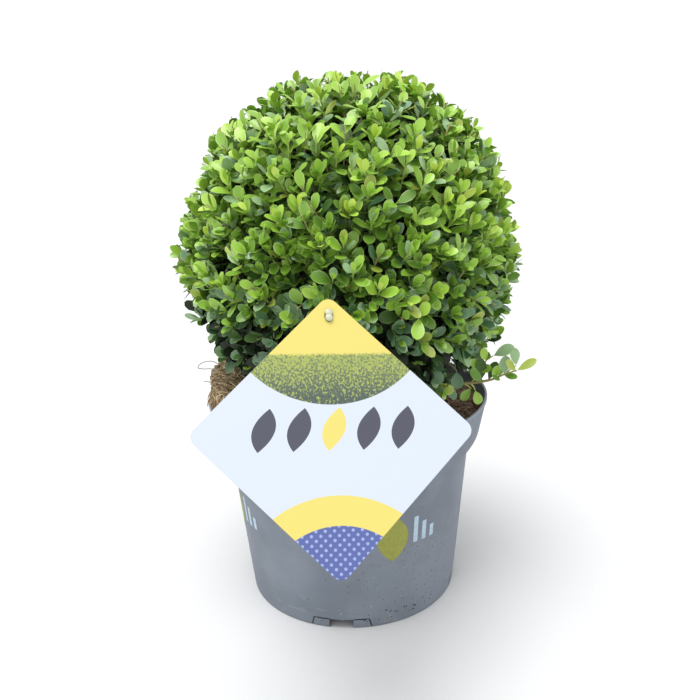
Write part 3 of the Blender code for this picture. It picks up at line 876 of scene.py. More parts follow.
ROUND_LEAF = LeafPattern(
    rows=((0.08, 0.10), (0.20, 0.42), (0.36, 0.76), (0.52, 0.95), (0.67, 1.0), (0.80, 0.88), (0.91, 0.62), (0.97, 0.34)),
    columns=(-1.0, -0.90, -0.5, 0.0, 0.5, 0.90, 1.0),
    edged=True,
)
FINE_LEAF = LeafPattern(
    rows=((0.15, 0.26), (0.41, 0.84), (0.68, 1.0), (0.91, 0.64)), columns=(-1.0, -0.86, 0.0, 0.86, 1.0), edged=True
)
PLAIN_LEAF = LeafPattern(rows=((0.34, 0.78), (0.76, 0.96)), columns=(-1.0, 0.0, 1.0), edged=False)


@dataclass
class Leaf:
    """One leaf: where it grows, which way it points and faces, and its size and colour."""

    root: Vector
    way: Vector
    face: Vector
    length: float
    width: float
    tone: Tone
    spare: float
    fold: float
    curl: float


class Leaves:
    """Leaves gathered for one piece, each pattern apart."""

    def __init__(self) -> None:
        """Starts with no leaf."""
        self.kept: dict[LeafPattern, list[Leaf]] = {ROUND_LEAF: [], FINE_LEAF: [], PLAIN_LEAF: []}

    def add(self, leaf: Leaf, pattern: LeafPattern) -> None:
        """Gathers one leaf."""
        self.kept[pattern].append(leaf)

    def thin_out(self, allowed: Callable[[np.ndarray, np.ndarray], np.ndarray]) -> None:
        """Drops every leaf that has a point where it isn't allowed.

        Args:
            allowed: Says, for points and the room that each may take outside the crown, which are allowed.
        """
        for pattern, leaves in self.kept.items():
            if not leaves:
                continue
            root, way, side, _, length, width = self.frames(leaves)
            spare = np.array([leaf.spare for leaf in leaves])
            fine = np.ones(len(leaves), bool)
            for along, across in ((0.45, 0.0), (1.0, 0.0), (0.62, 0.5), (0.62, -0.5)):
                spots = root + way * (length * along)[:, None] + side * (width * across)[:, None]
                fine &= allowed(spots, spare)
            self.kept[pattern] = [leaf for leaf, stays in zip(leaves, fine) if stays]

    @staticmethod
    def frames(leaves: Sequence[Leaf]) -> tuple[np.ndarray, ...]:
        """The leaves' roots, ways, sides, upper sides, lengths and widths, as arrays."""
        root = np.array([tuple(leaf.root) for leaf in leaves])
        way = np.array([tuple(leaf.way) for leaf in leaves])
        face = np.array([tuple(leaf.face) for leaf in leaves])
        face = face - way * np.sum(face * way, axis=1, keepdims=True)
        face /= np.linalg.norm(face, axis=1, keepdims=True) + 1e-12
        length = np.array([leaf.length for leaf in leaves])
        width = np.array([leaf.width for leaf in leaves]) * length
        return root, way, np.cross(way, face), face, length, width

    def build(self, name: str, finishes: LeafDress) -> bpy.types.Object:
        """Makes the gathered leaves one object.

        Args:
            name: The object's name.
            finishes: The materials of the blade and the edge, for each tone.

        Returns:
            The new object.
        """
        order = list(finishes)
        materials = [material for pair in finishes.values() for material in pair]
        points, corners, sizes, slots, start = [], [], [], [], 0
        for pattern, leaves in self.kept.items():
            if not leaves:
                continue
            made = self.shaped(pattern, leaves)
            faces, edges = pattern.faces(), pattern.edge_faces()
            flat = np.array([corner for face in faces for corner in face])
            offsets = start + np.arange(len(leaves)) * made.shape[1]
            tones = np.array([2 * order.index(leaf.tone) for leaf in leaves])
            points.append(made.reshape(-1, 3))
            corners.append((offsets[:, None] + flat[None, :]).ravel())
            sizes.append(np.tile([len(face) for face in faces], len(leaves)))
            slots.append((tones[:, None] + np.array(edges, int)[None, :]).ravel())
            start += made.shape[0] * made.shape[1]
        return piece_from_arrays(
            bpy.data.meshes.new(name), np.concatenate(points), np.concatenate(corners), np.concatenate(sizes),
            materials, np.concatenate(slots), None,
        )

    def shaped(self, pattern: LeafPattern, leaves: Sequence[Leaf]) -> np.ndarray:
        """Bends the flat pattern into each leaf's own shape.

        Args:
            pattern: The leaf's outline.
            leaves: The leaves that take it.

        Returns:
            The points of every leaf.
        """
        root, way, side, face, length, width = self.frames(leaves)
        fold = np.array([leaf.fold for leaf in leaves])
        curl = np.array([leaf.curl for leaf in leaves])
        across, along = pattern.grid().T
        lift = fold[:, None] * np.abs(across)[None, :] * width[:, None] / 2
        droop = curl[:, None] * (along**2)[None, :] * length[:, None]
        reach = (along[None, :] - 0.35 * np.abs(curl)[:, None] * (along**3)[None, :]) * length[:, None]
        made = root[:, None, :] + way[:, None, :] * reach[:, :, None]
        made += side[:, None, :] * (across[None, :] * width[:, None] / 2)[:, :, None]
        return made + face[:, None, :] * (lift - droop)[:, :, None]


@dataclass(frozen=True)
class Pot:
    """The nursery pot: a turned shell with a collar, a floor channel, a slotted foot and a generic print."""

    rim_radius: float = 0.130
    height: float = 0.1915
    wall: float = 0.0022
    lip: float = 0.0026
    collar_radius: float = 0.1222
    collar_foot: float = 0.1545
    shoulder_radius: float = 0.1124
    shoulder_height: float = 0.1395
    foot_radius: float = 0.0992
    channel_height: float = 0.010
    channel_inner: float = 0.0785
    channel_outer: float = 0.0958
    seam_height: float = 0.0165
    seam_depth: float = 0.00022
    slot_count: int = 4
    slot_width: float = 0.022
    slot_height: float = 0.0092
    slot_depth: float = 0.016
    slot_turn: float = math.radians(-97.3)
    panel_foot: float = 0.0560
    panel_top: float = 0.0500
    panel_height: float = 0.0094
    groove_depth: float = 0.0008
    groove_width: float = 0.0012
    splashes: int = 320
    near_share: float = 0.68
    splash_shades: tuple[Colour, ...] = (tint(58, 52, 50), tint(112, 96, 74), tint(176, 174, 150))
    steps: int = 180
    finish: PotFinish = field(default_factory=PotFinish)

    def outer_radius(self, height: float) -> float:
        """The radius of the outer wall below the shoulder."""
        share = (height - 0.003) / (self.shoulder_height - 0.003)
        return blend(self.foot_radius + 0.0002, self.shoulder_radius, share)

    def corners(self) -> list[tuple[Vector, float]]:
        """The profile's corners, each with how much it is rounded, up the inside and down the outside."""
        floor = self.channel_height + self.wall
        inner_shoulder = Vector((self.shoulder_radius - self.wall, self.shoulder_height - 0.001))
        inner_collar = Vector((self.collar_radius - self.wall, self.collar_foot - 0.001))
        seam = self.outer_radius(self.seam_height)
        return [
            (Vector((self.channel_inner - self.wall, self.wall)), 0.0008),
            (Vector((self.channel_inner + 0.0005, floor)), 0.0008),
            (Vector((self.foot_radius - 0.0012, floor)), 0.003),
            (inner_shoulder, 0.002),
            (inner_collar, 0.003),
            (Vector((self.rim_radius - self.lip, self.height - 0.002)), 0.0006),
            (Vector((self.rim_radius - self.lip + 0.0003, self.height)), 0.0005),
            (Vector((self.rim_radius, self.height)), 0.0010),
            (Vector((self.rim_radius - 0.0001, self.height - 0.0030)), 0.0004),
            (Vector((self.rim_radius - 0.0008, self.height - 0.0034)), 0.0003),
            (Vector((self.collar_radius, self.collar_foot)), 0.0045),
            (Vector((self.shoulder_radius, self.shoulder_height)), 0.0010),
            (Vector((seam, self.seam_height + 0.0006)), 0.0002),
            (Vector((seam - self.seam_depth, self.seam_height)), 0.0002),
            (Vector((self.outer_radius(0.0008) - self.seam_depth, 0.0008)), 0.0005),
            (Vector((self.foot_radius - 0.0010, 0.0)), 0.0004),
            (Vector((self.channel_outer + 0.0006, 0.0)), 0.0004),
            (Vector((self.channel_outer, self.channel_height)), 0.0010),
            (Vector((self.channel_inner + 0.0030, self.channel_height)), 0.0010),
            (Vector((self.channel_inner, 0.0)), 0.0010),
        ]

    def profile(self) -> list[tuple[float, float]]:
        """The whole rounded profile, with both ends on the axis."""
        corners = self.corners()
        spots = [Vector((0.0, self.wall))] + [spot for spot, _ in corners] + [Vector((0.0, 0.0))]
        points = [(0.0, self.wall)]
        for before, (corner, radius), after in zip(spots, corners, spots[2:]):
            points += fillet(before, corner, after, radius)
        return points + [(0.0, 0.0)]

    def cutters(self) -> bpy.types.Collection:
        """The slots through the foot and the shallow panels beside them."""
        group = bpy.data.collections.new("pot_cutters")
        bpy.context.scene.collection.children.link(group)
        for index in range(self.slot_count):
            azimuth = self.slot_turn + index * math.tau / self.slot_count
            turn = Matrix.Rotation(azimuth, 4, "Z")
            bm = bmesh.new()
            bmesh.ops.create_cube(bm, size=1.0)
            scale = Matrix.Diagonal((self.slot_depth, self.slot_width, 2 * self.slot_height, 1.0))
            middle = Matrix.Translation((self.foot_radius + 0.002, 0.0, 0.0))
            bmesh.ops.transform(bm, matrix=turn @ middle @ scale, verts=bm.verts)
            bmesh.ops.bevel(bm, geom=bm.edges, offset=0.0006, segments=2, affect="EDGES")
            self.keep_cutter(bm, f"slot_{index + 1}", group)
            for side in (-1, 1):
                groove = self.groove(side)
                bmesh.ops.transform(groove, matrix=turn, verts=groove.verts)
                self.keep_cutter(groove, f"groove_{index + 1}_{side + 1}", group)
        return group

    def groove(self, side: int) -> bmesh.types.BMesh:
        """The cutter of the groove that frames the foot on one side of a slot.

        Args:
            side: -1 or 1, for the side of the slot.

        Returns:
            The cutter's mesh, for a slot that faces +X.
        """
        low = (side * self.panel_foot / 2 * 1.02, -0.002)
        high = (side * self.panel_top / 2, self.panel_height)
        inner = (side * (self.slot_width / 2 - 0.001), self.panel_height)
        route = [low] + [(blend(high[0], inner[0], step / 6), high[1]) for step in range(7)]
        bm = bmesh.new()
        rows = []
        for index, (across, height) in enumerate(route):
            before, after = route[max(index - 1, 0)], route[min(index + 1, len(route) - 1)]
            along = Vector((after[0] - before[0], after[1] - before[1])).normalized()
            aside = Vector((-along.y, along.x)) * self.groove_width / 2
            row = []
            for lean, depth in ((-1, -self.groove_depth), (1, -self.groove_depth), (1, 0.004), (-1, 0.004)):
                angle = (across + lean * aside.x) / self.foot_radius
                spot_height = height + lean * aside.y
                radius = self.outer_radius(spot_height) - self.seam_depth + depth
                row.append(bm.verts.new((radius * math.cos(angle), radius * math.sin(angle), spot_height)))
            rows.append(row)
        for first, second in zip(rows, rows[1:]):
            for corner in range(4):
                following = (corner + 1) % 4
                bm.faces.new((first[corner], first[following], second[following], second[corner]))
        bm.faces.new(rows[0])
        bm.faces.new(rows[-1])
        bmesh.ops.recalc_face_normals(bm, faces=bm.faces)
        return bm

    def keep_cutter(self, bm: bmesh.types.BMesh, name: str, group: bpy.types.Collection) -> None:
        """Places one cutter in the cutters' collection."""
        mesh = bpy.data.meshes.new(name)
        bm.to_mesh(mesh)
        bm.free()
        group.objects.link(bpy.data.objects.new(name, mesh))

    def build(self) -> None:
        """Builds and dresses the pot and its print."""
        points, faces = turned(self.profile(), self.steps)
        pot = new_piece("nursery_pot", points, faces, [self.finish.build()])
        group = self.cutters()
        cut = pot.modifiers.new("cut", "BOOLEAN")
        cut.operation, cut.operand_type, cut.collection = "DIFFERENCE", "COLLECTION", group
        mesh = bpy.data.meshes.new_from_object(pot.evaluated_get(bpy.context.evaluated_depsgraph_get()))
        pot.modifiers.clear()
        pot.data = mesh
        for cutter in list(group.objects):
            bpy.data.objects.remove(cutter, do_unlink=True)
        bpy.data.collections.remove(group)
        # Painted shade: the faces in the foot's grooves take a dark material.
        mesh.materials.append(self.finish.build_groove_shade())
        for face in mesh.polygons:
            if self.in_groove(face.center):
                face.material_index = 1
        mesh.shade_smooth()
        mesh.set_sharp_from_angle(angle=math.radians(32))
        hand_over(pot, "pot", "pot")
        self.build_splashes()
        self.build_print()

    def in_groove(self, spot: Vector) -> bool:
        """Whether a face's middle lies in a groove of the foot."""
        sunk = self.outer_radius(spot.z) - self.seam_depth - math.hypot(spot.x, spot.y)
        slot_pitch = math.tau / self.slot_count
        turn = (math.atan2(spot.y, spot.x) - self.slot_turn + slot_pitch / 2) % slot_pitch - slot_pitch / 2
        beside = abs(turn) * self.foot_radius
        low_enough = 0.0012 < spot.z < self.panel_height + self.groove_width
        outside_slot = beside > self.slot_width / 2 + 0.0002
        return low_enough and outside_slot and 0.0001 < sunk < self.groove_depth * 1.3

    def on_wall(self, azimuth: float, height: float, proud: float = 0.00012) -> Vector:
        """A point just proud of the outer wall."""
        radius = self.outer_radius(height) + proud
        return Vector((radius * math.cos(azimuth), radius * math.sin(azimuth), height))

    def build_splashes(self) -> None:
        """Specks of soil splashed on the wall, most of them low on its front right."""
        draw = random.Random("splashes")
        points, faces, shades = [], [], []
        for index in range(self.splashes):
            near = draw.random() < self.near_share
            azimuth = math.radians(draw.gauss(-60.0, 17.0) if near else draw.uniform(-180.0, 180.0))
            height = blend(0.006, 0.085 if near else 0.125, draw.random() ** 1.3)
            size, long = draw.uniform(0.00030, 0.00085), draw.uniform(1.0, 1.7)
            start = len(points)
            for step in range(7):
                turn = step * math.tau / 7
                across, up = size * math.cos(turn) * draw.uniform(0.8, 1.2), size * long * math.sin(turn)
                points.append(tuple(self.on_wall(azimuth + across / self.foot_radius, height + up, -0.0003)))
            points.append(tuple(self.on_wall(azimuth, height, 0.00025)))
            faces += [(start + step, start + (step + 1) % 7, start + 7) for step in range(7)]
            shades += [draw.choice((0, 0, 0, 0, 1, 2))] * 7
        finishes = [TwigFinish(f"splash_{index + 1}", shade, 0.9).build() for index, shade in enumerate(self.splash_shades)]
        hand_over(new_piece("soil_splashes", np.array(points), faces, finishes, shades), "pot")

    def build_print(self) -> None:
        """A generic print: an olive leaf with short pale bars beside it, at two places on the wall."""
        for index, azimuth in enumerate((math.radians(-71), math.radians(-167))):
            self.build_leaf_mark(f"pot_print_leaf_{index + 1}", azimuth)
            self.build_bars(f"pot_print_bars_{index + 1}", azimuth)

    def build_leaf_mark(self, name: str, azimuth: float) -> None:
        """The olive leaf of the print.

        Args:
            name: The piece's name.
            azimuth: Where the leaf's middle lies on the wall.
        """
        long_half, wide_half, steps = 0.023, 0.0135, 22
        points, faces = [], []
        for step in range(steps + 1):
            share = step / steps
            height = 0.091 + (share - 0.5) * 2 * long_half
            wide = wide_half * math.sin(math.pi * share) ** 0.8
            for side in (-1.0, -0.5, 0.0, 0.5, 1.0):
                points.append(self.on_wall(azimuth + side * wide / self.foot_radius, height))
        for step in range(steps):
            for side in range(4):
                low, high = step * 5 + side, (step + 1) * 5 + side
                faces.append((low, low + 1, high + 1, high))
        finish = PlainFinish("print_olive", tint(146, 150, 62), 0.5)
        hand_over(new_piece(name, np.array([tuple(p) for p in points]), faces, [finish.build()]), "pot")

    def build_bars(self, name: str, azimuth: float) -> None:
        """The pale bars of the print.

        Args:
            name: The piece's name.
            azimuth: Where the leaf's middle lies on the wall.
        """
        points, faces = [], []
        for index, long in enumerate((0.026, 0.019, 0.012)):
            middle = azimuth + (0.0205 + index * 0.0085) / self.foot_radius
            half = 0.0021 / self.foot_radius
            rows = 8
            start = len(points)
            for row in range(rows + 1):
                height = 0.082 + long * row / rows
                points += [self.on_wall(middle - half, height), self.on_wall(middle + half, height)]
            faces += [(start + 2 * r, start + 2 * r + 1, start + 2 * r + 3, start + 2 * r + 2) for r in range(rows)]
        finish = PlainFinish("print_pale", tint(176, 198, 216), 0.5)
        hand_over(new_piece(name, np.array([tuple(p) for p in points]), faces, [finish.build()]), "pot")


@dataclass(frozen=True)
class RootBall:
    """The root ball: peat that fills the pot, matted with fine roots where it stands over the rim."""

    pot: Pot
    level: float = 0.1805
    rise: float = 0.034
    rise_start: float = 0.015
    rise_width: float = 0.10
    flat_radius: float = 0.024
    trunk_foot: float = 0.1860
    edge: float = 0.1246
    lump: float = 0.0022
    gap: float = 0.0003
    clear: float = 0.0006
    steps: int = 150
    top_rings: int = 46
    fibres: int = 1900
    rim_fibres: int = 70
    over_rim: tuple[tuple[float, float], ...] = (
        (0.1216, 0.2030), (0.1238, 0.2000), (0.1264, 0.1968), (0.1292, 0.1932), (0.1304, 0.1896),
    )
    crumbs: int = 1100
    loose_roots: tuple[tuple[tuple[float, float, float], ...], ...] = (
        (
            (-0.1173, -0.012, 0.2255), (-0.1235, -0.012, 0.2288), (-0.1309, -0.014, 0.2288), (-0.1352, -0.016, 0.2265),
            (-0.1358, -0.016, 0.2241), (-0.1323, -0.014, 0.2223), (-0.1250, -0.012, 0.2215), (-0.1177, -0.012, 0.2200),
        ),
        ((-0.1318, -0.018, 0.2119), (-0.1282, -0.017, 0.2110), (-0.1247, -0.016, 0.2092), (-0.1206, -0.015, 0.2060)),
    )

    def height(self, x: float, y: float) -> float:
        """The height of the root ball's top at a place.

        Args:
            x: The place along X.
            y: The place along Y.

        Returns:
            The height above the floor.
        """
        away = eased((math.hypot(x, y) - self.flat_radius) / 0.03)
        rise = self.level + self.rise * eased((-x - self.rise_start) / self.rise_width)
        lump = self.lump * noise.noise(Vector((x * 45, y * 45, 3.0)))
        return blend(self.trunk_foot - self.gap, rise + lump, away)

    def skin(self, azimuth: float, out: float) -> Vector:
        """A point on the ball's top, or on its side where out goes past the edge."""
        radius = min(out, self.edge)
        x, y = radius * math.cos(azimuth), radius * math.sin(azimuth)
        height = self.height(x, y)
        drop = min(max(out - self.edge, 0.0), max(height - self.pot.height + self.pot.lip, 0.0))
        return Vector((x, y, height - drop))

    def profile(self) -> list[tuple[float, float]]:
        """The profile from the middle of the top, over the edge, to the middle of the underside."""
        wall = self.pot.wall + self.clear
        shoulder = Vector((self.pot.shoulder_radius - wall, self.pot.shoulder_height - 0.001 + self.clear))
        collar = Vector((self.pot.collar_radius - wall, self.pot.collar_foot - 0.001))
        floor = self.pot.channel_height + wall
        top = [(self.edge * (ring / self.top_rings), self.pot.height) for ring in range(self.top_rings + 1)]
        side = [(0.1240, 0.180), (0.1222, 0.1690), tuple(collar), tuple(shoulder)]
        return top + side + [
            (self.pot.foot_radius - 0.0020, floor),
            (self.pot.channel_inner - 0.0002, floor),
            (self.pot.channel_inner - wall, wall),
            (0.0, wall),
        ]

    def build(self) -> None:
        """Builds and dresses the ball, its fine roots and its crumbs."""
        points, faces = turned(self.profile(), self.steps)
        faces = [tuple(reversed(face)) for face in faces]
        edge_height = self.pot.height - 0.001
        for point in points:
            if point[2] > edge_height:
                rough = 0.0011 * noise.noise(Vector((point[0] * 210, point[1] * 210, 8.0)))
                point[2] = self.height(point[0], point[1]) + rough
        ball = new_piece("root_mat", points, faces, [SoilFinish().build()], None, math.radians(50))
        bm = bmesh.new()
        bm.from_mesh(ball.data)
        bmesh.ops.recalc_face_normals(bm, faces=bm.faces)
        bm.to_mesh(ball.data)
        bm.free()
        hand_over(ball, "root_ball", "root_ball")
        self.build_fibres()
        self.build_crumbs()

    def fibre_path(self, draw: random.Random) -> list[Vector]:
        """The way of one short curly root over the skin.

        Args:
            draw: Where its numbers are drawn.

        Returns:
            The points that it follows.
        """
        azimuth = math.pi + draw.gauss(0.12, 0.62)
        out = self.edge * draw.uniform(0.60, 1.17)
        heading, bend, lift = draw.uniform(0.0, math.tau), draw.uniform(-1.1, 1.1), draw.uniform(0.0003, 0.0024)
        points = []
        for step in range(6):
            outward = Vector((math.cos(azimuth), math.sin(azimuth), 0.5)) * lift * math.sin((step + 0.5) * math.pi / 6)
            points.append(self.skin(azimuth, out) + outward)
            azimuth += 0.0022 * math.cos(heading) / max(out, 0.02)
            out = min(out + 0.0022 * math.sin(heading), self.edge * 1.19)
            heading += bend * draw.uniform(0.2, 1.0)
        return points

    def rim_path(self, draw: random.Random) -> list[Vector]:
        """The way of one root that hangs over the pot's rim.

        Args:
            draw: Where its numbers are drawn.

        Returns:
            The points that it follows.
        """
        azimuth, slant = math.pi + draw.gauss(0.10, 0.16), draw.uniform(-0.036, 0.036)
        lift = draw.uniform(0.0, 0.0010)
        points = []
        for out, height in self.over_rim[: draw.choice((3, 4, 4, 5))]:
            azimuth += slant + draw.uniform(-0.008, 0.008)
            points.append(Vector(((out + lift) * math.cos(azimuth), (out + lift) * math.sin(azimuth), height + lift)))
        return smooth_way(points)

    def build_fibres(self) -> None:
        """The mat of fine roots on the ball's high side, those over the rim, and two loose loops."""
        draw = random.Random("fibres")
        tubes = Tubes()
        for _ in range(self.fibres):
            radius = draw.uniform(0.00026, 0.00058)
            tubes.add(self.fibre_path(draw), [radius] * 5 + [radius * 0.5], 3, draw.choice((0, 0, 0, 1, 1, 2)))
        for _ in range(self.rim_fibres):
            path = self.rim_path(draw)
            tubes.add(path, [draw.uniform(0.00026, 0.00052)] * len(path), 3, draw.choice((0, 0, 1, 2, 3)))
        for loose in self.loose_roots:
            tubes.add(smooth_way([Vector(point) for point in loose]), [0.00045] * (5 * len(loose) - 4), 5, 3)
        shades = (tint(174, 152, 114), tint(122, 100, 72), tint(204, 188, 156), tint(168, 168, 164))
        finishes = [TwigFinish(f"fine_root_{index + 1}", shade, 0.8).build() for index, shade in enumerate(shades)]
        hand_over(tubes.build("fine_roots", finishes), "root_ball")

    def build_crumbs(self) -> None:
        """Loose crumbs of peat on the ball's low side."""
        draw = random.Random("crumbs")
        bm = bmesh.new()
        for _ in range(self.crumbs):
            out = self.edge * math.sqrt(draw.random()) * 0.985
            azimuth = draw.uniform(-1.9, 1.9)
            if out < self.flat_radius * 0.8:
                continue
            size = draw.uniform(0.0005, 0.0019)
            made = bmesh.ops.create_icosphere(bm, subdivisions=1, radius=size)
            turn = Matrix.Rotation(draw.uniform(0.0, math.tau), 4, direction(draw.uniform(0, 6), draw.uniform(-1, 1)))
            flat = Matrix.Diagonal((1.0, draw.uniform(0.6, 1.0), draw.uniform(0.45, 0.8), 1.0))
            middle = Matrix.Translation(self.skin(azimuth, out) + UP * size * 0.25)
            bmesh.ops.transform(bm, matrix=middle @ turn @ flat, verts=made["verts"])
            shade = draw.choice((0, 0, 0, 1, 1, 2))
            for vertex in made["verts"]:
                for face in vertex.link_faces:
                    face.material_index = shade
        mesh = bpy.data.meshes.new("peat_crumbs")
        bm.to_mesh(mesh)
        bm.free()
        for index, shade in enumerate((tint(98, 76, 60), tint(140, 112, 88), tint(176, 148, 118))):
            mesh.materials.append(TwigFinish(f"peat_crumb_{index + 1}", shade, 0.95).build())
        piece = bpy.data.objects.new(mesh.name, mesh)
        bpy.context.scene.collection.objects.link(piece)
        hand_over(piece, "root_ball")


@dataclass(frozen=True)
class Dip:
    """A hollow in the clipped surface, by its direction, its angular radius and its depth."""

    azimuth: float
    tilt: float
    spread: float
    depth: float


@dataclass(frozen=True)
class Crown:
    """The clipped ball: its outline, the spaces of its masses and where the limbs run."""

    root_ball: RootBall
    middle: Vector = field(default_factory=lambda: Vector((0.005, 0.0, 0.325)))
    heights: tuple[float, ...] = (0.205, 0.235, 0.270, 0.320, 0.365, 0.405, 0.435, 0.458, 0.472, 0.4785)
    widths: tuple[float, ...] = (0.1185, 0.1340, 0.1460, 0.1530, 0.1460, 0.1310, 0.1110, 0.0820, 0.0500, 0.0)
    lean: float = 0.034
    side_masses: int = 6
    side_tilt: float = math.radians(-8)
    upper_masses: int = 6
    upper_tilt: float = math.radians(38)
    front: float = math.radians(-90)
    stem_foot: float = 0.046
    gap: float = 0.0003
    rim_clearance: float = 0.003
    limb_clearance: float = 0.0015
    mat_view: float = 0.020
    dips: tuple[Dip, ...] = (
        Dip(math.radians(180), math.radians(-29), 0.42, 0.033),
        Dip(math.radians(150), math.radians(-30), 0.36, 0.020),
        Dip(math.radians(-150), math.radians(-30), 0.32, 0.014),
        Dip(math.radians(0), math.radians(-26), 0.28, 0.026),
        Dip(math.radians(180), math.radians(-4), 0.26, -0.010),
        Dip(math.radians(178), math.radians(36), 0.40, -0.006),
        Dip(math.radians(0), math.radians(68), 0.28, -0.004),
        Dip(math.radians(0), math.radians(54), 0.20, 0.005),
        Dip(math.radians(180), math.radians(70), 0.24, -0.006),
        Dip(math.radians(0), math.radians(14), 0.24, 0.004),
    )

    def mass_directions(self) -> dict[str, Vector]:
        """The name of each mass and the direction that its space lies round."""
        ways = {"top": UP.copy()}
        for index in range(self.upper_masses):
            azimuth = self.front + (index + 0.5) * math.tau / self.upper_masses
            ways[f"upper_{index + 1}"] = direction(azimuth, self.upper_tilt)
        for index in range(self.side_masses):
            azimuth = self.front + index * math.tau / self.side_masses
            ways[f"side_{index + 1}"] = direction(azimuth, self.side_tilt)
        return ways

    def width(self, height: np.ndarray) -> np.ndarray:
        """The ball's half-width at each height, and less than nothing outside it."""
        found = np.interp(height, self.heights[:-1], self.widths[:-1])
        share = np.clip((height - self.heights[-2]) / (self.heights[-1] - self.heights[-2]), 0.0, 1.0)
        found = found * np.sqrt(1.0 - share * share)
        outside = (height < self.heights[0]) | (height > self.heights[-1])
        return np.where(outside, -1.0, found)

    def holds(self, points: np.ndarray) -> np.ndarray:
        """Which of the points lie inside the ball's outline."""
        axis = self.middle.x + self.lean * (points[:, 2] - self.middle.z)
        return np.hypot(points[:, 0] - axis, points[:, 1]) < self.width(points[:, 2])

    def reaches(self, ways: np.ndarray) -> np.ndarray:
        """How far the ball goes from its middle in each direction, dips taken off.

        Args:
            ways: One unit vector in each row.

        Returns:
            The distances.
        """
        near, far = np.full(len(ways), 0.05), np.full(len(ways), 0.20)
        for _ in range(11):
            half = (near + far) / 2
            inside = self.holds(np.array(self.middle) + ways * half[:, None])
            near, far = np.where(inside, half, near), np.where(inside, far, half)
        for dip in self.dips:
            away = np.arccos(np.clip(ways @ np.array(direction(dip.azimuth, dip.tilt)), -1.0, 1.0))
            share = np.clip(1.0 - away / dip.spread, 0.0, 1.0)
            near = near - dip.depth * share * share * (3.0 - 2.0 * share)
        return near

    def reach(self, way: Vector) -> float:
        """How far the ball goes from its middle in one direction."""
        return float(self.reaches(np.array([tuple(way)]))[0])

    def excess(self, points: np.ndarray) -> np.ndarray:
        """How far each point lies outside the ball's outline, along the line from its middle."""
        out = points - np.array(self.middle)
        far = np.linalg.norm(out, axis=1)
        return far - self.reaches(out / far[:, None])

    def over_pot(self, points: np.ndarray) -> np.ndarray:
        """Which of the points are clear of the root ball and of the pot's rim."""
        pot, ball = self.root_ball.pot, self.root_ball
        out = np.hypot(points[:, 0], points[:, 1])
        near_rim = (out < pot.rim_radius + 2 * self.rim_clearance) & (points[:, 2] < pot.height + self.rim_clearance)
        near_rim &= out > pot.rim_radius - 0.008
        low = points[:, 2] < ball.level + ball.rise + self.rim_clearance + self.mat_view
        rise = np.clip((-points[:, 0] - ball.rise_start) / ball.rise_width, 0.0, 1.0)
        soil = ball.level + ball.rise * rise * rise * (3.0 - 2.0 * rise)
        soil += np.clip((-points[:, 0] - 0.045) / 0.03, 0.0, 1.0) * np.clip(0.004 - 0.27 * points[:, 1], 0.0, self.mat_view)
        in_soil = low & (out < pot.rim_radius) & (points[:, 2] < soil + self.rim_clearance)
        return ~(near_rim | in_soil)


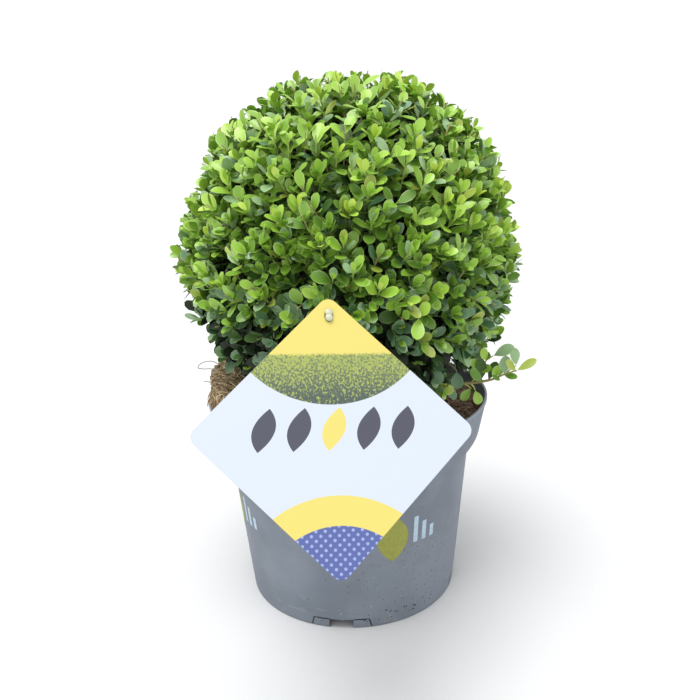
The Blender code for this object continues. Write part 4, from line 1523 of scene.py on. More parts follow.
@dataclass(frozen=True)
class Limbs:
    """The trunk and the boughs that carry the masses, with the bark's relief."""

    crown: Crown
    trunk_top: float = 0.288
    flare_radius: float = 0.0145
    trunk_radius: float = 0.0092
    fork_radius: float = 0.0068
    bough_foot: float = 0.0034
    bough_tip: float = 0.0022
    straight: float = 0.003
    side_heights: tuple[float, ...] = (0.236, 0.252, 0.240, 0.256, 0.244, 0.260)
    upper_heights: tuple[float, ...] = (0.268, 0.278, 0.271, 0.281, 0.274, 0.265)
    low_height: float = 0.2075
    low_end: Vector = field(default_factory=lambda: Vector((0.0900, -0.0520, 0.2150)))
    low_way: Vector = field(default_factory=lambda: Vector((0.0230, -0.0050, 0.0085)).normalized())

    def trunk_point(self, height: float) -> Vector:
        """The middle of the trunk at a height."""
        return Vector((self.crown.lean * (height - self.crown.root_ball.trunk_foot), 0.0, height))

    def trunk_width(self, height: float) -> float:
        """The trunk's radius at a height, flared at its foot."""
        foot = self.crown.root_ball.trunk_foot
        rise = height - foot
        taper = blend(self.trunk_radius, self.fork_radius, rise / (self.trunk_top - foot))
        return taper + (self.flare_radius - self.trunk_radius) * (1.0 - eased(rise / 0.020))

    def arch(self, start: Vector, start_way: Vector, end: Vector, end_way: Vector) -> list[Vector]:
        """The way of a bough that is straight at both ends.

        Args:
            start: Where it leaves the trunk.
            start_way: Which way it leaves.
            end: Where it meets its mass.
            end_way: Which way it arrives.

        Returns:
            The points that it follows.
        """
        first, last = start + start_way * self.straight, end - end_way * self.straight
        pull = (last - first).length * 0.42
        curve = curve_points((first, first + start_way * pull, last - end_way * pull, last), 12)
        return [start] + curve + [end]

    def paths(self) -> dict[str, list[Vector]]:
        """The name of each bough and the points that it follows."""
        found = {}
        heights = {f"side_{index + 1}": height for index, height in enumerate(self.side_heights)}
        heights.update({f"upper_{index + 1}": height for index, height in enumerate(self.upper_heights)})
        for name, way in self.crown.mass_directions().items():
            end = self.crown.middle + way * (self.crown.stem_foot - self.crown.gap)
            if name == "top":
                found[name] = self.arch(self.trunk_point(self.trunk_top), UP, end, way)
            else:
                found[name] = self.from_trunk(heights[name], end, way)
        found["low_right"] = self.from_trunk(self.low_height, self.low_end, self.low_way)
        return found

    def from_trunk(self, height: float, end: Vector, end_way: Vector) -> list[Vector]:
        """The way of a bough that leaves the trunk's bark level, at a height."""
        foot = self.trunk_point(height)
        way = Vector((end.x - foot.x, end.y - foot.y, 0.0)).normalized()
        start = foot + way * (self.trunk_width(height) - 0.0004)
        return self.arch(start, way, end, end_way)

    def relief(self, points: np.ndarray) -> np.ndarray:
        """The share by which the bark's ridges change the radius at each point."""
        ridges = [noise.noise(Vector((x * 420, y * 420, z * 90))) for x, y, z in points]
        knots = [noise.noise(Vector((x * 60 + 9, y * 60, z * 60))) for x, y, z in points]
        return 1.0 + 0.07 * np.array(ridges) + 0.06 * np.array(knots)

    def segments(self) -> list[tuple[np.ndarray, np.ndarray, float]]:
        """Every stretch of every limb, as its start, its end and its radius."""
        foot = self.trunk_point(self.crown.root_ball.trunk_foot)
        found = [(np.array(foot), np.array(self.trunk_point(self.trunk_top)), self.trunk_radius)]
        for path in self.paths().values():
            for start, end in zip(path[::3], path[3::3]):
                found.append((np.array(start), np.array(end), self.bough_foot))
        return found

    def build(self) -> None:
        """Builds and dresses the trunk and every bough."""
        bark = BarkFinish().build()
        foot = self.crown.root_ball.trunk_foot
        heights = [blend(foot, self.trunk_top, step / 50) for step in range(51)]
        trunk = Tubes()
        path, radii = [self.trunk_point(h) for h in heights], [self.trunk_width(h) for h in heights]
        trunk.add(path, radii, 28, 0, self.relief)
        hand_over(trunk.build("trunk_bark", [bark]), "bark", "trunk")
        for name, path in self.paths().items():
            bough = Tubes()
            last = len(path) - 1
            radii = [blend(self.bough_foot, self.bough_tip, index / last) for index in range(len(path))]
            bough.add(path, radii, 14, 0, self.relief)
            hand_over(bough.build(f"bark_{name}", [bark]), "bark", f"bough_{name}")


@dataclass(frozen=True)
class ShootLayer:
    """A layer of leafy shoots at one depth under the clipped surface."""

    count: int
    depth: tuple[float, float]
    pairs: int
    leaf_length: float
    pattern: LeafPattern
    age: float
    stem_length: float


@dataclass
class Shoot:
    """One leafy shoot: its tip, its way, and the age with painted shade, spread and growth of its leaves."""

    tip: Vector
    way: Vector
    layer: ShootLayer
    age: float
    clipped: bool
    spread: float
    growth: float
    low: float


@dataclass(frozen=True)
class Foliage:
    """The twigs and leaves of the ball's masses, grown on from the boughs."""

    crown: Crown
    limbs: Limbs
    stem_length: float = 0.036
    stem_radius: float = 0.0021
    nodes: int = 108
    node_share: float = 0.62
    lowest: float = math.radians(-54)
    up_pull: float = 0.62
    stray_share: float = 0.015
    clump_depth: float = 0.020
    low_gaps: float = 0.52
    low_growth: float = 0.22
    # Deeper layers take darker tones: partly older leaves, partly painted shade inside the ball.
    layers: tuple[ShootLayer, ...] = (
        ShootLayer(860, (0.0050, 0.0110), 5, 0.0178, FINE_LEAF, 0.8, 0.034),
        ShootLayer(860, (0.0140, 0.0240), 5, 0.0182, FINE_LEAF, 2.1, 0.034),
        ShootLayer(700, (0.0310, 0.0420), 4, 0.0176, PLAIN_LEAF, 3.8, 0.026),
        ShootLayer(420, (0.0540, 0.0640), 4, 0.0180, PLAIN_LEAF, 4.8, 0.024),
    )
    pair_drops: tuple[float, ...] = (0.0004, 0.0030, 0.0068, 0.0116, 0.0176, 0.0250)
    pair_spreads: tuple[float, ...] = (13.0, 28.0, 40.0, 50.0, 59.0, 66.0)
    pair_sizes: tuple[float, ...] = (0.62, 0.84, 0.98, 1.02, 1.00, 0.94)

    def mass_of(self, way: Vector, ways: dict[str, Vector]) -> str:
        """The name of the mass whose space this direction lies in."""
        return max(ways, key=lambda name: ways[name].dot(way))

    def allowed(self, points: np.ndarray, spare: np.ndarray) -> np.ndarray:
        """Which points lie in the ball, over the pot and clear of every limb."""
        fine = (self.crown.excess(points) < spare) & self.crown.over_pot(points)
        for start, end, radius in self.limbs.segments():
            along = end - start
            share = np.clip((points - start) @ along / along.dot(along), 0.0, 1.0)
            away = np.linalg.norm(points - start - share[:, None] * along, axis=1)
            fine &= away > radius + self.crown.limb_clearance
        return fine

    def build(self, blades: LeafDress) -> None:
        """Builds and dresses the twigs and leaves of every mass.

        Args:
            blades: The materials of the leaves.
        """
        barks = [
            TwigFinish("shoot_green", tint(150, 172, 84)).build(),
            TwigFinish("twig_tan", tint(166, 152, 108)).build(),
            TwigFinish("cut_end", tint(196, 172, 130)).build(),
        ]
        ways = self.crown.mass_directions()
        shares = {name: [way for way in even_directions(self.nodes) if self.mass_of(way, ways) == name] for name in ways}
        for name, way in ways.items():
            draw = random.Random(name)
            twigs, leaves = Tubes(), Leaves()
            nodes = self.grow_branches(way, shares[name], twigs, draw)
            for layer in self.layers:
                for spot in even_directions(layer.count):
                    if self.mass_of(spot, ways) == name and math.asin(spot.z) > self.lowest:
                        self.grow_shoot(spot, layer, nodes, twigs, leaves, draw)
            leaves.thin_out(self.allowed)
            hand_over(leaves.build(f"leaves_{name}", blades), "foliage", f"mass_{name}")
            hand_over(twigs.build(f"twigs_{name}", barks), "foliage")

    def grow_branches(self, way: Vector, spots: Sequence[Vector], twigs: Tubes, draw: random.Random) -> list[Vector]:
        """The stem of a mass and the branches that fan out from it.

        Args:
            way: The direction of the mass.
            spots: The directions of its branches' ends.
            twigs: What the branches are added to.
            draw: Where numbers are drawn.

        Returns:
            The ends of the branches.
        """
        foot = self.crown.middle + way * self.crown.stem_foot
        fork = foot + way * self.stem_length * 0.55
        twigs.add([foot, foot.lerp(fork, 0.5), fork], [self.stem_radius, self.stem_radius, self.stem_radius * 0.8], 8, 1)
        ends = []
        for spot in spots:
            end = self.crown.middle + spot * self.crown.reach(spot) * self.node_share * draw.uniform(0.95, 1.05)
            start = foot.lerp(fork, draw.uniform(0.3, 1.0))
            pull = (end - start).length * 0.4
            path = curve_points((start, start + way * pull, end - spot * pull, end), 5)
            twigs.add(path, [blend(0.0016, 0.0010, index / 5) for index in range(6)], 6, 1)
            ends.append(end)
        return ends

    def grow_shoot(
        self, spot: Vector, layer: ShootLayer, nodes: Sequence[Vector], twigs: Tubes, leaves: Leaves,
        draw: random.Random,
    ) -> None:
        """One shoot, its twig back to the nearest branch, and its leaves.

        Args:
            spot: The shoot's direction from the middle of the ball.
            layer: The layer that it belongs to.
            nodes: The ends of the mass's branches.
            twigs: What its twig is added to.
            leaves: What its leaves are added to.
            draw: Where numbers are drawn.
        """
        jitter = Vector((draw.gauss(0, 1), draw.gauss(0, 1), draw.gauss(0, 1)))
        spot = (spot + jitter * 0.035).normalized()
        clump = eased((noise.noise(spot * 5.0) - 0.02) / 0.42)
        depth = draw.uniform(*layer.depth) + self.clump_depth * clump
        tip = self.crown.middle + spot * (self.crown.reach(spot) - depth)
        under = eased((0.268 - tip.z) / 0.040)
        if layer.pattern.edged and draw.random() < self.low_gaps * under:
            return
        pull = self.up_pull * (1.0 if spot.z > -0.1 else 0.4)
        flat_top = eased((spot.z - 0.15) / 0.7)
        way = (spot + UP * pull * draw.uniform(0.6, 1.3) + jitter * blend(0.13, 0.30, flat_top)).normalized()
        base = tip - way * layer.stem_length
        node = min(nodes, key=lambda place: (place - base).length_squared)
        arm = (base - node).length * 0.35
        outward = (node - self.crown.middle).normalized()
        curve = curve_points((node, node + outward * arm, base - way * arm, base), 3)
        sides = 5 if layer.pattern.edged else 3
        twigs.add(curve, (0.0010, 0.0009, 0.0008, 0.00075), sides, 1)
        clipped = layer.pattern.edged and draw.random() < blend(0.12, 0.42, eased((spot.z - 0.2) / 0.7))
        top = tip + way * (draw.uniform(0.001, 0.005) if clipped else 0.0)
        stem = [base, base.lerp(tip, 0.5), tip, top + way * 0.0008]
        twigs.add(stem, (0.00075, 0.00065, 0.00055, 0.00045), sides, 1 if clipped else 0)
        # Leaves low on the ball and in deeper clumps take darker tones: partly age, partly painted shade, most on the
        # low left and least on the low right.
        low = eased((0.338 - tip.z) / 0.088)
        left = eased((-tip.x - 0.02) / 0.06)
        right = eased((tip.x - 0.03) / 0.05)
        low_age_and_shade = (3.7 + 0.4 * left - 1.9 * right) * low
        age = layer.age + low_age_and_shade + 1.9 * clump + draw.gauss(0.0, 0.8) + (0.4 if clipped else 0.0)
        shoot = Shoot(tip, way, layer, age, clipped, 1.0 + 0.42 * flat_top, 1.0 + self.low_growth * under, low)
        self.grow_leaves(shoot, spot, leaves, draw)

    def grow_leaves(self, shoot: Shoot, spot: Vector, leaves: Leaves, draw: random.Random) -> None:
        """The pairs of leaves down one shoot, each pair turned from the one above.

        Args:
            shoot: The shoot.
            spot: Its direction from the middle of the ball.
            leaves: What the leaves are added to.
            draw: Where numbers are drawn.
        """
        side = any_across(shoot.way, draw)
        spare = 0.010 if draw.random() < self.stray_share else draw.uniform(-0.0005, 0.0035)
        first = 1 if shoot.clipped else 0
        for pair in range(first, shoot.layer.pairs + 1):
            size = shoot.layer.leaf_length * self.pair_sizes[pair] * shoot.growth
            for half in range(2):
                around = half * math.pi + pair * math.radians(84) + draw.uniform(-0.35, 0.35)
                leaf_side = Matrix.Rotation(around, 3, shoot.way) @ side
                angle = math.radians(self.pair_spreads[pair]) * shoot.spread * draw.uniform(0.78, 1.18)
                way = (splayed(shoot.way, leaf_side, angle) + UP * draw.uniform(-0.05, 0.22)).normalized()
                face = shoot.way * 0.7 + spot * draw.uniform(0.0, 0.5) + UP * draw.uniform(0.1, 0.6)
                leaf = Leaf(
                    root=shoot.tip - shoot.way * (self.pair_drops[pair] + 0.0008 * half),
                    way=way, face=face, length=size * draw.uniform(0.84, 1.16), width=draw.uniform(0.43, 0.54),
                    tone=self.tone(shoot.age + 0.66 * pair, shoot.low, draw), spare=spare,
                    fold=draw.uniform(0.05, 0.42), curl=draw.uniform(-0.10, 0.22),
                )
                leaves.add(leaf, shoot.layer.pattern)

    def tone(self, age: float, low: float, draw: random.Random) -> Tone:
        """The colour of a leaf, with some that stray from the row.

        Args:
            age: The leaf's age together with its painted shade, as a place in the row of tones.
            low: From 0 high on the ball to 1 low down, where more leaves take the pale bluish painted sheen and the
                dark bluish painted shade.
            draw: Where numbers are drawn.

        Returns:
            The leaf's tone.
        """
        strays = draw.random()
        # Painted sheen and painted shade: the pale bluish and dark bluish tones, more of them low down.
        if 1.0 < age < 4.5 and strays < 0.10 + 0.14 * low:
            return Tone.COOL
        if 1.0 < age < 4.5 and strays < 0.13 + 0.14 * low:
            return Tone.OLIVE
        if 2.5 < age < 6.0 and strays < 0.18 + 0.44 * low:
            return Tone.BLUE
        return AGES_AND_SHADES[min(max(round(age + draw.gauss(0.0, 0.35)), 0), len(AGES_AND_SHADES) - 1)]


Place = tuple[float, float, float]


@dataclass(frozen=True)
class PlacedLeaf:
    """A leaf that shows on its own, placed by its root and its tip."""

    root: Place
    tip: Place
    width: float
    tone: Tone
    fold: float = 0.22

    def grow(self, up_share: float = 0.75) -> Leaf:
        """The leaf, facing up and to the front."""
        root, tip = Vector(self.root), Vector(self.tip)
        face = UP * up_share + Vector((0.0, -1.0, 0.0))
        long = (tip - root).length
        return Leaf(root, (tip - root).normalized(), face, long, self.width / long, self.tone, 0.0, self.fold, 0.08)


@dataclass(frozen=True)
class Sprig:
    """A thin shoot whose stems and leaves are placed one by one."""

    name: str
    stems: tuple[tuple[Place, ...], ...]
    leaves: tuple[PlacedLeaf, ...]
    radius: float = 0.0011
    node: str | None = None

    def build(self, blades: LeafDress, barks: Sequence[bpy.types.Material]) -> None:
        """Builds and dresses the shoot's stems and leaves.

        Args:
            blades: The materials of the leaves.
            barks: The materials of a green shoot and of an older twig.
        """
        twigs, leaves = Tubes(), Leaves()
        for index, stem in enumerate(self.stems):
            points = smooth_way([Vector(point) for point in stem])
            last = len(points) - 1
            foot = self.radius * (1.5 if index == 0 else 0.8)
            radii = [blend(foot, self.radius * 0.5, step / last) for step in range(last + 1)]
            twigs.add(points, radii, 8, 0 if index else 1)
        for leaf in self.leaves:
            leaves.add(leaf.grow(), ROUND_LEAF)
        nodes = (self.node,) if self.node else ()
        hand_over(leaves.build(f"leaves_{self.name}", blades), "foliage", *nodes)
        hand_over(twigs.build(f"twigs_{self.name}", barks), "foliage")


@dataclass(frozen=True)
class Sprigs:
    """The shoots that stand out from the ball's outline and are seen one by one."""

    low_right: Sprig = Sprig(
        name="low_right",
        stems=(
            (
                (0.0900, -0.0520, 0.2150), (0.1060, -0.0570, 0.2160), (0.1231, -0.0620, 0.2197),
                (0.1356, -0.0640, 0.2255), (0.1454, -0.0660, 0.2290),
            ),
            ((0.1080, -0.0575, 0.2163), (0.1140, -0.0590, 0.2280), (0.1200, -0.0600, 0.2370), (0.1252, -0.0620, 0.2415)),
            ((0.1060, -0.0570, 0.2160), (0.1095, -0.0560, 0.2125), (0.1114, -0.0550, 0.2083)),
            ((0.1000, -0.0550, 0.2155), (0.1050, -0.0552, 0.2125), (0.1078, -0.0550, 0.2103)),
            ((0.1356, -0.0640, 0.2255), (0.1400, -0.0640, 0.2295), (0.1448, -0.0640, 0.2324)),
        ),
        leaves=(
            PlacedLeaf((0.1252, -0.0620, 0.2415), (0.1413, -0.0700, 0.2524), 0.0100, Tone.COOL),
            PlacedLeaf((0.1448, -0.0640, 0.2324), (0.1439, -0.0580, 0.2478), 0.0090, Tone.COOL),
            PlacedLeaf((0.1347, -0.0640, 0.2254), (0.1344, -0.0720, 0.2443), 0.0104, Tone.COOL),
            PlacedLeaf((0.1445, -0.0660, 0.2290), (0.1342, -0.0780, 0.2419), 0.0082, Tone.OLIVE),
            PlacedLeaf((0.1450, -0.0660, 0.2287), (0.1617, -0.0680, 0.2395), 0.0078, Tone.OLIVE),
            PlacedLeaf((0.1344, -0.0645, 0.2248), (0.1435, -0.0760, 0.2266), 0.0064, Tone.FULL),
            PlacedLeaf((0.1257, -0.0625, 0.2208), (0.1286, -0.0680, 0.2343), 0.0070, Tone.LIVELY),
            PlacedLeaf((0.1215, -0.0615, 0.2192), (0.1299, -0.0560, 0.2348), 0.0086, Tone.DEEP),
            PlacedLeaf((0.1147, -0.0595, 0.2176), (0.1151, -0.0660, 0.2400), 0.0100, Tone.DEEP),
            PlacedLeaf((0.1175, -0.0600, 0.2180), (0.1054, -0.0680, 0.2315), 0.0096, Tone.FULL),
            PlacedLeaf((0.1114, -0.0550, 0.2083), (0.1150, -0.0590, 0.1960), 0.0086, Tone.LIVELY),
            PlacedLeaf((0.1078, -0.0550, 0.2103), (0.0985, -0.0610, 0.2013), 0.0078, Tone.MIDDLE),
            PlacedLeaf((0.1140, -0.0590, 0.2280), (0.1230, -0.0680, 0.2330), 0.0080, Tone.LIVELY),
            PlacedLeaf((0.1140, -0.0590, 0.2285), (0.1060, -0.0670, 0.2400), 0.0086, Tone.MIDDLE),
            PlacedLeaf((0.1200, -0.0600, 0.2370), (0.1150, -0.0680, 0.2500), 0.0084, Tone.FRESH),
            PlacedLeaf((0.1180, -0.0600, 0.2340), (0.1100, -0.0520, 0.2460), 0.0080, Tone.COOL),
            PlacedLeaf((0.1300, -0.0630, 0.2228), (0.1370, -0.0560, 0.2360), 0.0082, Tone.MIDDLE),
            PlacedLeaf((0.1302, -0.0630, 0.2230), (0.1250, -0.0740, 0.2250), 0.0074, Tone.FULL),
        ),
        node="mass_low_right",
    )
    right: Sprig = Sprig(
        name="right_sprig",
        stems=(((0.0950, -0.0380, 0.2380), (0.1090, -0.0430, 0.2385), (0.1190, -0.0480, 0.2470), (0.1226, -0.0500, 0.2545)),),
        leaves=(
            PlacedLeaf((0.1226, -0.0500, 0.2545), (0.1237, -0.0520, 0.2734), 0.0076, Tone.LIVELY),
            PlacedLeaf((0.1225, -0.0500, 0.2538), (0.1352, -0.0560, 0.2653), 0.0086, Tone.LIVELY),
            PlacedLeaf((0.1215, -0.0497, 0.2520), (0.1317, -0.0620, 0.2582), 0.0068, Tone.DEEP),
            PlacedLeaf((0.1180, -0.0475, 0.2460), (0.1090, -0.0600, 0.2520), 0.0090, Tone.FULL),
            PlacedLeaf((0.1150, -0.0460, 0.2430), (0.1240, -0.0560, 0.2370), 0.0080, Tone.MIDDLE),
        ),
        radius=0.0009,
    )
    left: Sprig = Sprig(
        name="left_sprig",
        stems=(
            (
                (-0.0500, -0.0500, 0.2800), (-0.0800, -0.0500, 0.2600), (-0.0964, -0.0500, 0.2475),
                (-0.0992, -0.0500, 0.2420),
            ),
            ((-0.0550, -0.0650, 0.2700), (-0.0680, -0.0740, 0.2600), (-0.0750, -0.0800, 0.2535)),
        ),
        leaves=(
            PlacedLeaf((-0.1000, -0.0470, 0.2432), (-0.1139, -0.0490, 0.2524), 0.0112, Tone.COOL),
            PlacedLeaf((-0.0990, -0.0500, 0.2420), (-0.1035, -0.0540, 0.2310), 0.0084, Tone.BLUE),
            PlacedLeaf((-0.0985, -0.0510, 0.2430), (-0.0880, -0.0570, 0.2440), 0.0066, Tone.BLUE),
            PlacedLeaf((-0.0975, -0.0500, 0.2450), (-0.1060, -0.0580, 0.2570), 0.0080, Tone.BLUE),
            PlacedLeaf((-0.0900, -0.0500, 0.2530), (-0.1010, -0.0640, 0.2640), 0.0096, Tone.COOL),
            PlacedLeaf((-0.0752, -0.0790, 0.2540), (-0.0865, -0.0790, 0.2570), 0.0074, Tone.MIDDLE),
            PlacedLeaf((-0.0750, -0.0800, 0.2535), (-0.0646, -0.0830, 0.2680), 0.0070, Tone.LIVELY),
            PlacedLeaf((-0.0750, -0.0805, 0.2535), (-0.0860, -0.0880, 0.2462), 0.0088, Tone.LIVELY),
        ),
        radius=0.0010,
    )
    front: Sprig = Sprig(
        name="front_sprig",
        stems=(
            ((0.0450, -0.1150, 0.3040), (0.0510, -0.1280, 0.3020), (0.0552, -0.1350, 0.2980)),
            ((0.0500, -0.0700, 0.2420), (0.0560, -0.0830, 0.2400), (0.0600, -0.0900, 0.2390)),
            ((0.0800, -0.0520, 0.2380), (0.0900, -0.0590, 0.2330), (0.0945, -0.0620, 0.2290)),
        ),
        leaves=(
            PlacedLeaf((0.0552, -0.1350, 0.2980), (0.0528, -0.1470, 0.2842), 0.0102, Tone.LIVELY),
            PlacedLeaf((0.0550, -0.1348, 0.2985), (0.0620, -0.1440, 0.3110), 0.0092, Tone.FRESH),
            PlacedLeaf((0.0600, -0.0900, 0.2390), (0.0796, -0.0960, 0.2328), 0.0130, Tone.BLUE),
            PlacedLeaf((0.0585, -0.0880, 0.2395), (0.0600, -0.0990, 0.2600), 0.0124, Tone.FULL),
            PlacedLeaf((0.0945, -0.0620, 0.2290), (0.0938, -0.0690, 0.2147), 0.0110, Tone.BLUE),
        ),
        radius=0.0010,
    )
    far_left: Sprig = Sprig(
        name="far_left_sprig",
        stems=(((-0.1180, -0.0080, 0.3220), (-0.1330, -0.0095, 0.3245), (-0.1405, -0.0100, 0.3270)),),
        leaves=(
            PlacedLeaf((-0.1405, -0.0100, 0.3270), (-0.1536, -0.0110, 0.3285), 0.0066, Tone.MIDDLE),
            PlacedLeaf((-0.1395, -0.0100, 0.3268), (-0.1510, -0.0160, 0.3370), 0.0074, Tone.LIVELY),
            PlacedLeaf((-0.1385, -0.0098, 0.3262), (-0.1460, -0.0150, 0.3170), 0.0074, Tone.FULL),
            PlacedLeaf((-0.1370, -0.0098, 0.3258), (-0.1420, -0.0230, 0.3290), 0.0078, Tone.MIDDLE),
        ),
        radius=0.0008,
    )

    def build(self, blades: LeafDress) -> None:
        """Builds and dresses every sprig.

        Args:
            blades: The materials of the leaves.
        """
        barks = [TwigFinish("sprig_green", tint(158, 172, 92)).build(), TwigFinish("sprig_tan", tint(142, 136, 84)).build()]
        for sprig in (self.low_right, self.right, self.left, self.front, self.far_left):
            sprig.build(blades, barks)


@dataclass(frozen=True)
class Card:
    """The square card that hangs by its corner, and the tie that carries it."""

    side: float = 0.1410
    corner: float = 0.0075
    thickness: float = 0.0008
    middle: Vector = field(default_factory=lambda: Vector((-0.0101, -0.2152, 0.2402)))
    spin: float = math.radians(4.4)
    lean: float = math.radians(33.0)
    turn: float = math.radians(10.2)
    hole_drop: float = 0.0152
    hole_half: Vector = field(default_factory=lambda: Vector((0.0031, 0.0047)))
    tie_radius: float = 0.0011
    head_radius: float = 0.0028
    head_step: float = 0.0019
    head_flat: float = 0.45
    twig_end: float = 0.1400
    gap: float = 0.0003

    def matrix(self) -> Matrix:
        """The card's place, with its face towards -Y in its own frame."""
        lean = Matrix.Rotation(-self.lean, 4, "X") @ Matrix.Rotation(self.spin, 4, "Y")
        return Matrix.Translation(self.middle) @ Matrix.Rotation(self.turn, 4, "Z") @ lean

    def hole(self) -> Vector:
        """The middle of the hole in the card's own frame."""
        return Vector((0.0, 0.0, self.side / math.sqrt(2) - self.hole_drop))

    def outline(self) -> list[tuple[float, float]]:
        """The square on its corner, with round corners."""
        far = (self.side / 2 - self.corner) * math.sqrt(2)
        points = []
        for index in range(4):
            angle = index * math.pi / 2
            for step in range(13):
                turn = angle + (step / 12 - 0.5) * math.pi / 2
                x = far * math.cos(angle) + self.corner * math.cos(turn)
                points.append((x, far * math.sin(angle) + self.corner * math.sin(turn)))
        return points

    def hole_outline(self) -> list[tuple[float, float]]:
        """The oval hole near the top corner."""
        angles = [step * math.tau / 32 for step in range(32)]
        return [(self.hole_half.x * math.cos(a), self.hole().z + self.hole_half.y * math.sin(a)) for a in angles]

    def build(self) -> None:
        """Builds and dresses the card and its tie."""
        curve = bpy.data.curves.new("hang_card", "CURVE")
        curve.dimensions, curve.fill_mode = "2D", "BOTH"
        bevel = 0.00012
        curve.extrude, curve.bevel_depth, curve.bevel_resolution = self.thickness / 2 - bevel, bevel, 1
        curve.offset = -bevel
        for outline in (self.outline(), self.hole_outline()):
            spline = curve.splines.new("POLY")
            spline.points.add(len(outline) - 1)
            spline.use_cyclic_u = True
            for knot, point in zip(spline.points, outline):
                knot.co = (*point, 0.0, 1.0)
        guide = bpy.data.objects.new("hang_card_guide", curve)
        bpy.context.scene.collection.objects.link(guide)
        mesh = bpy.data.meshes.new_from_object(guide.evaluated_get(bpy.context.evaluated_depsgraph_get()))
        bpy.data.objects.remove(guide, do_unlink=True)
        mesh.name = "hang_card"
        mesh.transform(self.matrix() @ Matrix.Rotation(math.pi / 2, 4, "X"))
        bm = bmesh.new()
        bm.from_mesh(mesh)
        bmesh.ops.remove_doubles(bm, verts=bm.verts, dist=1e-6)
        bm.to_mesh(mesh)
        bm.free()
        mesh.materials.clear()
        mesh.materials.append(CardFinish(self.matrix()).build())
        card = bpy.data.objects.new("hang_card", mesh)
        bpy.context.scene.collection.objects.link(card)
        hand_over(card, "label_card", "label_card")
        self.build_tie()

    def build_tie(self) -> None:
        """Builds and dresses the tie with its two-lobed head."""
        place, frame_turn = self.matrix(), self.matrix().to_3x3()
        out = (frame_turn @ Vector((0.0, -1.0, 0.0))).normalized()
        up = (frame_turn @ UP).normalized()
        rise = self.hole_half.y - self.tie_radius - self.gap
        hold, hole = place @ (self.hole() + UP * rise), place @ self.hole()
        start = Vector((hold.x, -self.twig_end, hold.z + 0.001))
        front = self.thickness / 2 + self.gap + self.head_radius * self.head_flat
        knots = (start, start + Vector((0.0, -0.010, 0.0)), hold - out * 0.006, hold + out * front)
        tie = Tubes()
        tie.add(curve_points(knots, 14), [self.tie_radius] * 15, 14)
        bm = bmesh.new()
        for side in (-1, 1):
            made = bmesh.ops.create_uvsphere(bm, u_segments=28, v_segments=16, radius=self.head_radius)
            flat = Matrix.Diagonal((1.0, self.head_flat, 1.0, 1.0))
            middle = Matrix.Translation(hole + out * front + up * side * self.head_step)
            bmesh.ops.transform(bm, matrix=middle @ frame_turn.to_4x4() @ flat, verts=made["verts"])
        heads = bpy.data.meshes.new("tie_head")
        bm.to_mesh(heads)
        bm.free()
        finish = PlainFinish("tie_plastic", tint(184, 184, 158), 0.38).build()
        heads.materials.append(finish)
        heads.shade_smooth()
        head = bpy.data.objects.new("tie_head", heads)
        bpy.context.scene.collection.objects.link(head)
        hand_over(tie.build("card_tie", [finish]), "label_tie", "label_tie")
        hand_over(head, "label_tie")


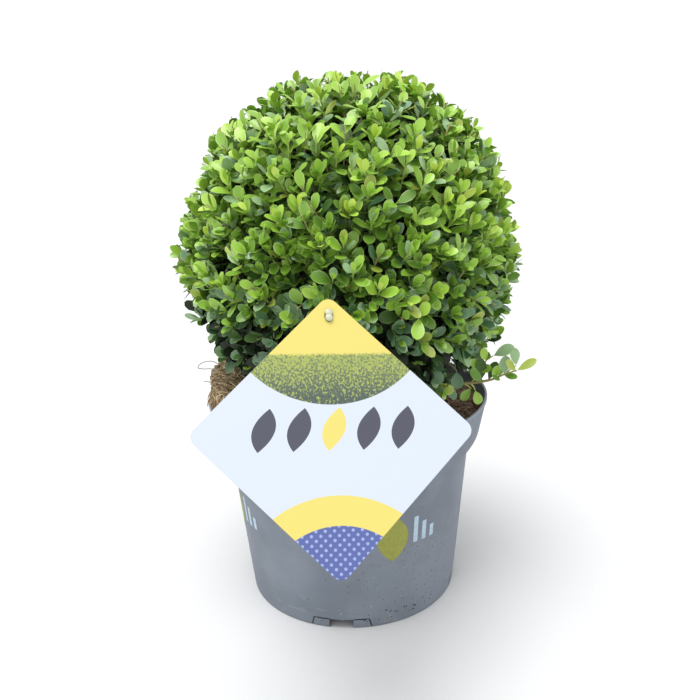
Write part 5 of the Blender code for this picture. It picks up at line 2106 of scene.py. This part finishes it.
@dataclass(frozen=True)
class Studio:
    """The camera at the photograph's angle, soft light and a plain pale floor."""

    distance: float = 0.7434
    height: float = 0.4662
    pitch: float = 0.3059
    yaw: float = 0.0066
    roll: float = -0.0307
    lens: float = 43.117
    shift: float = -0.00259
    floor_size: float = 60.0
    floor_colour: Colour = tint(205, 206, 207)
    sky_colour: Colour = (1.0, 1.0, 1.0, 1.0)
    sky_strength: float = 1.02
    sun_energy: float = 2.6
    sun_angle: float = math.radians(36)
    sun_way: tuple[float, float, float] = (0.16, 0.20, -1.0)
    panel_place: tuple[float, float, float] = (-1.2, -2.0, 1.4)
    panel_size: float = 1.6
    panel_energy: float = 6.0

    def build(self) -> None:
        """Builds the camera, the lights, the world and the floor."""
        self.build_camera()
        self.build_sun()
        self.build_panel()
        world = bpy.data.worlds.new("studio")
        world.use_nodes = True
        background = world.node_tree.nodes["Background"]
        background.inputs["Color"].default_value = self.sky_colour
        background.inputs["Strength"].default_value = self.sky_strength
        scene = bpy.context.scene
        scene.world = world
        scene.view_settings.view_transform = "Standard"
        self.build_floor()

    def build_camera(self) -> None:
        """Places the camera from its height, its distance and its three turns."""
        level = Vector((math.sin(self.yaw), math.cos(self.yaw), 0.0))
        ahead = level * math.cos(self.pitch) - UP * math.sin(self.pitch)
        right = Vector((math.cos(self.yaw), -math.sin(self.yaw), 0.0))
        over = right.cross(ahead)
        rolled_right = right * math.cos(self.roll) + over * math.sin(self.roll)
        rolled_over = over * math.cos(self.roll) - right * math.sin(self.roll)
        data = bpy.data.cameras.new("camera")
        data.lens, data.sensor_width, data.shift_x = self.lens, 36.0, self.shift
        camera = bpy.data.objects.new("camera", data)
        turn = Matrix((rolled_right, rolled_over, -ahead)).transposed().to_4x4()
        camera.matrix_world = Matrix.Translation((0.0, -self.distance, self.height)) @ turn
        bpy.context.scene.collection.objects.link(camera)
        bpy.context.scene.camera = camera

    def build_sun(self) -> None:
        """Places the soft, even light from above."""
        data = bpy.data.lights.new("overhead", "SUN")
        data.energy, data.angle = self.sun_energy, self.sun_angle
        light = bpy.data.objects.new("overhead", data)
        light.matrix_world = Vector(self.sun_way).to_track_quat("-Z", "Y").to_matrix().to_4x4()
        bpy.context.scene.collection.objects.link(light)

    def build_panel(self) -> None:
        """Places the square fill light before the plant."""
        data = bpy.data.lights.new("front_panel", "AREA")
        data.size, data.energy = self.panel_size, self.panel_energy
        light = bpy.data.objects.new("front_panel", data)
        place = Vector(self.panel_place)
        aim = Vector((0.0, 0.0, 0.25)) - place
        light.matrix_world = Matrix.Translation(place) @ aim.to_track_quat("-Z", "Y").to_matrix().to_4x4()
        bpy.context.scene.collection.objects.link(light)

    def build_floor(self) -> None:
        """Lays the plain pale floor."""
        half = self.floor_size / 2
        points = np.array([(-half, -half, 0.0), (half, -half, 0.0), (half, half, 0.0), (-half, half, 0.0)])
        floor = new_piece("floor", points, [(0, 1, 2, 3)], [PlainFinish("floor", self.floor_colour, 0.8, 0.01).build()])


def main() -> None:
    """Builds every part of the picture in order."""
    logging.basicConfig(level=logging.INFO, format="%(name)s %(message)s")
    Studio().build()
    pot = Pot()
    pot.build()
    root_ball = RootBall(pot)
    root_ball.build()
    crown = Crown(root_ball)
    limbs = Limbs(crown)
    limbs.build()
    blades = leaf_dress()
    Foliage(crown, limbs).build(blades)
    Sprigs().build(blades)
    Card().build()


if __name__ == "__main__":
    main()
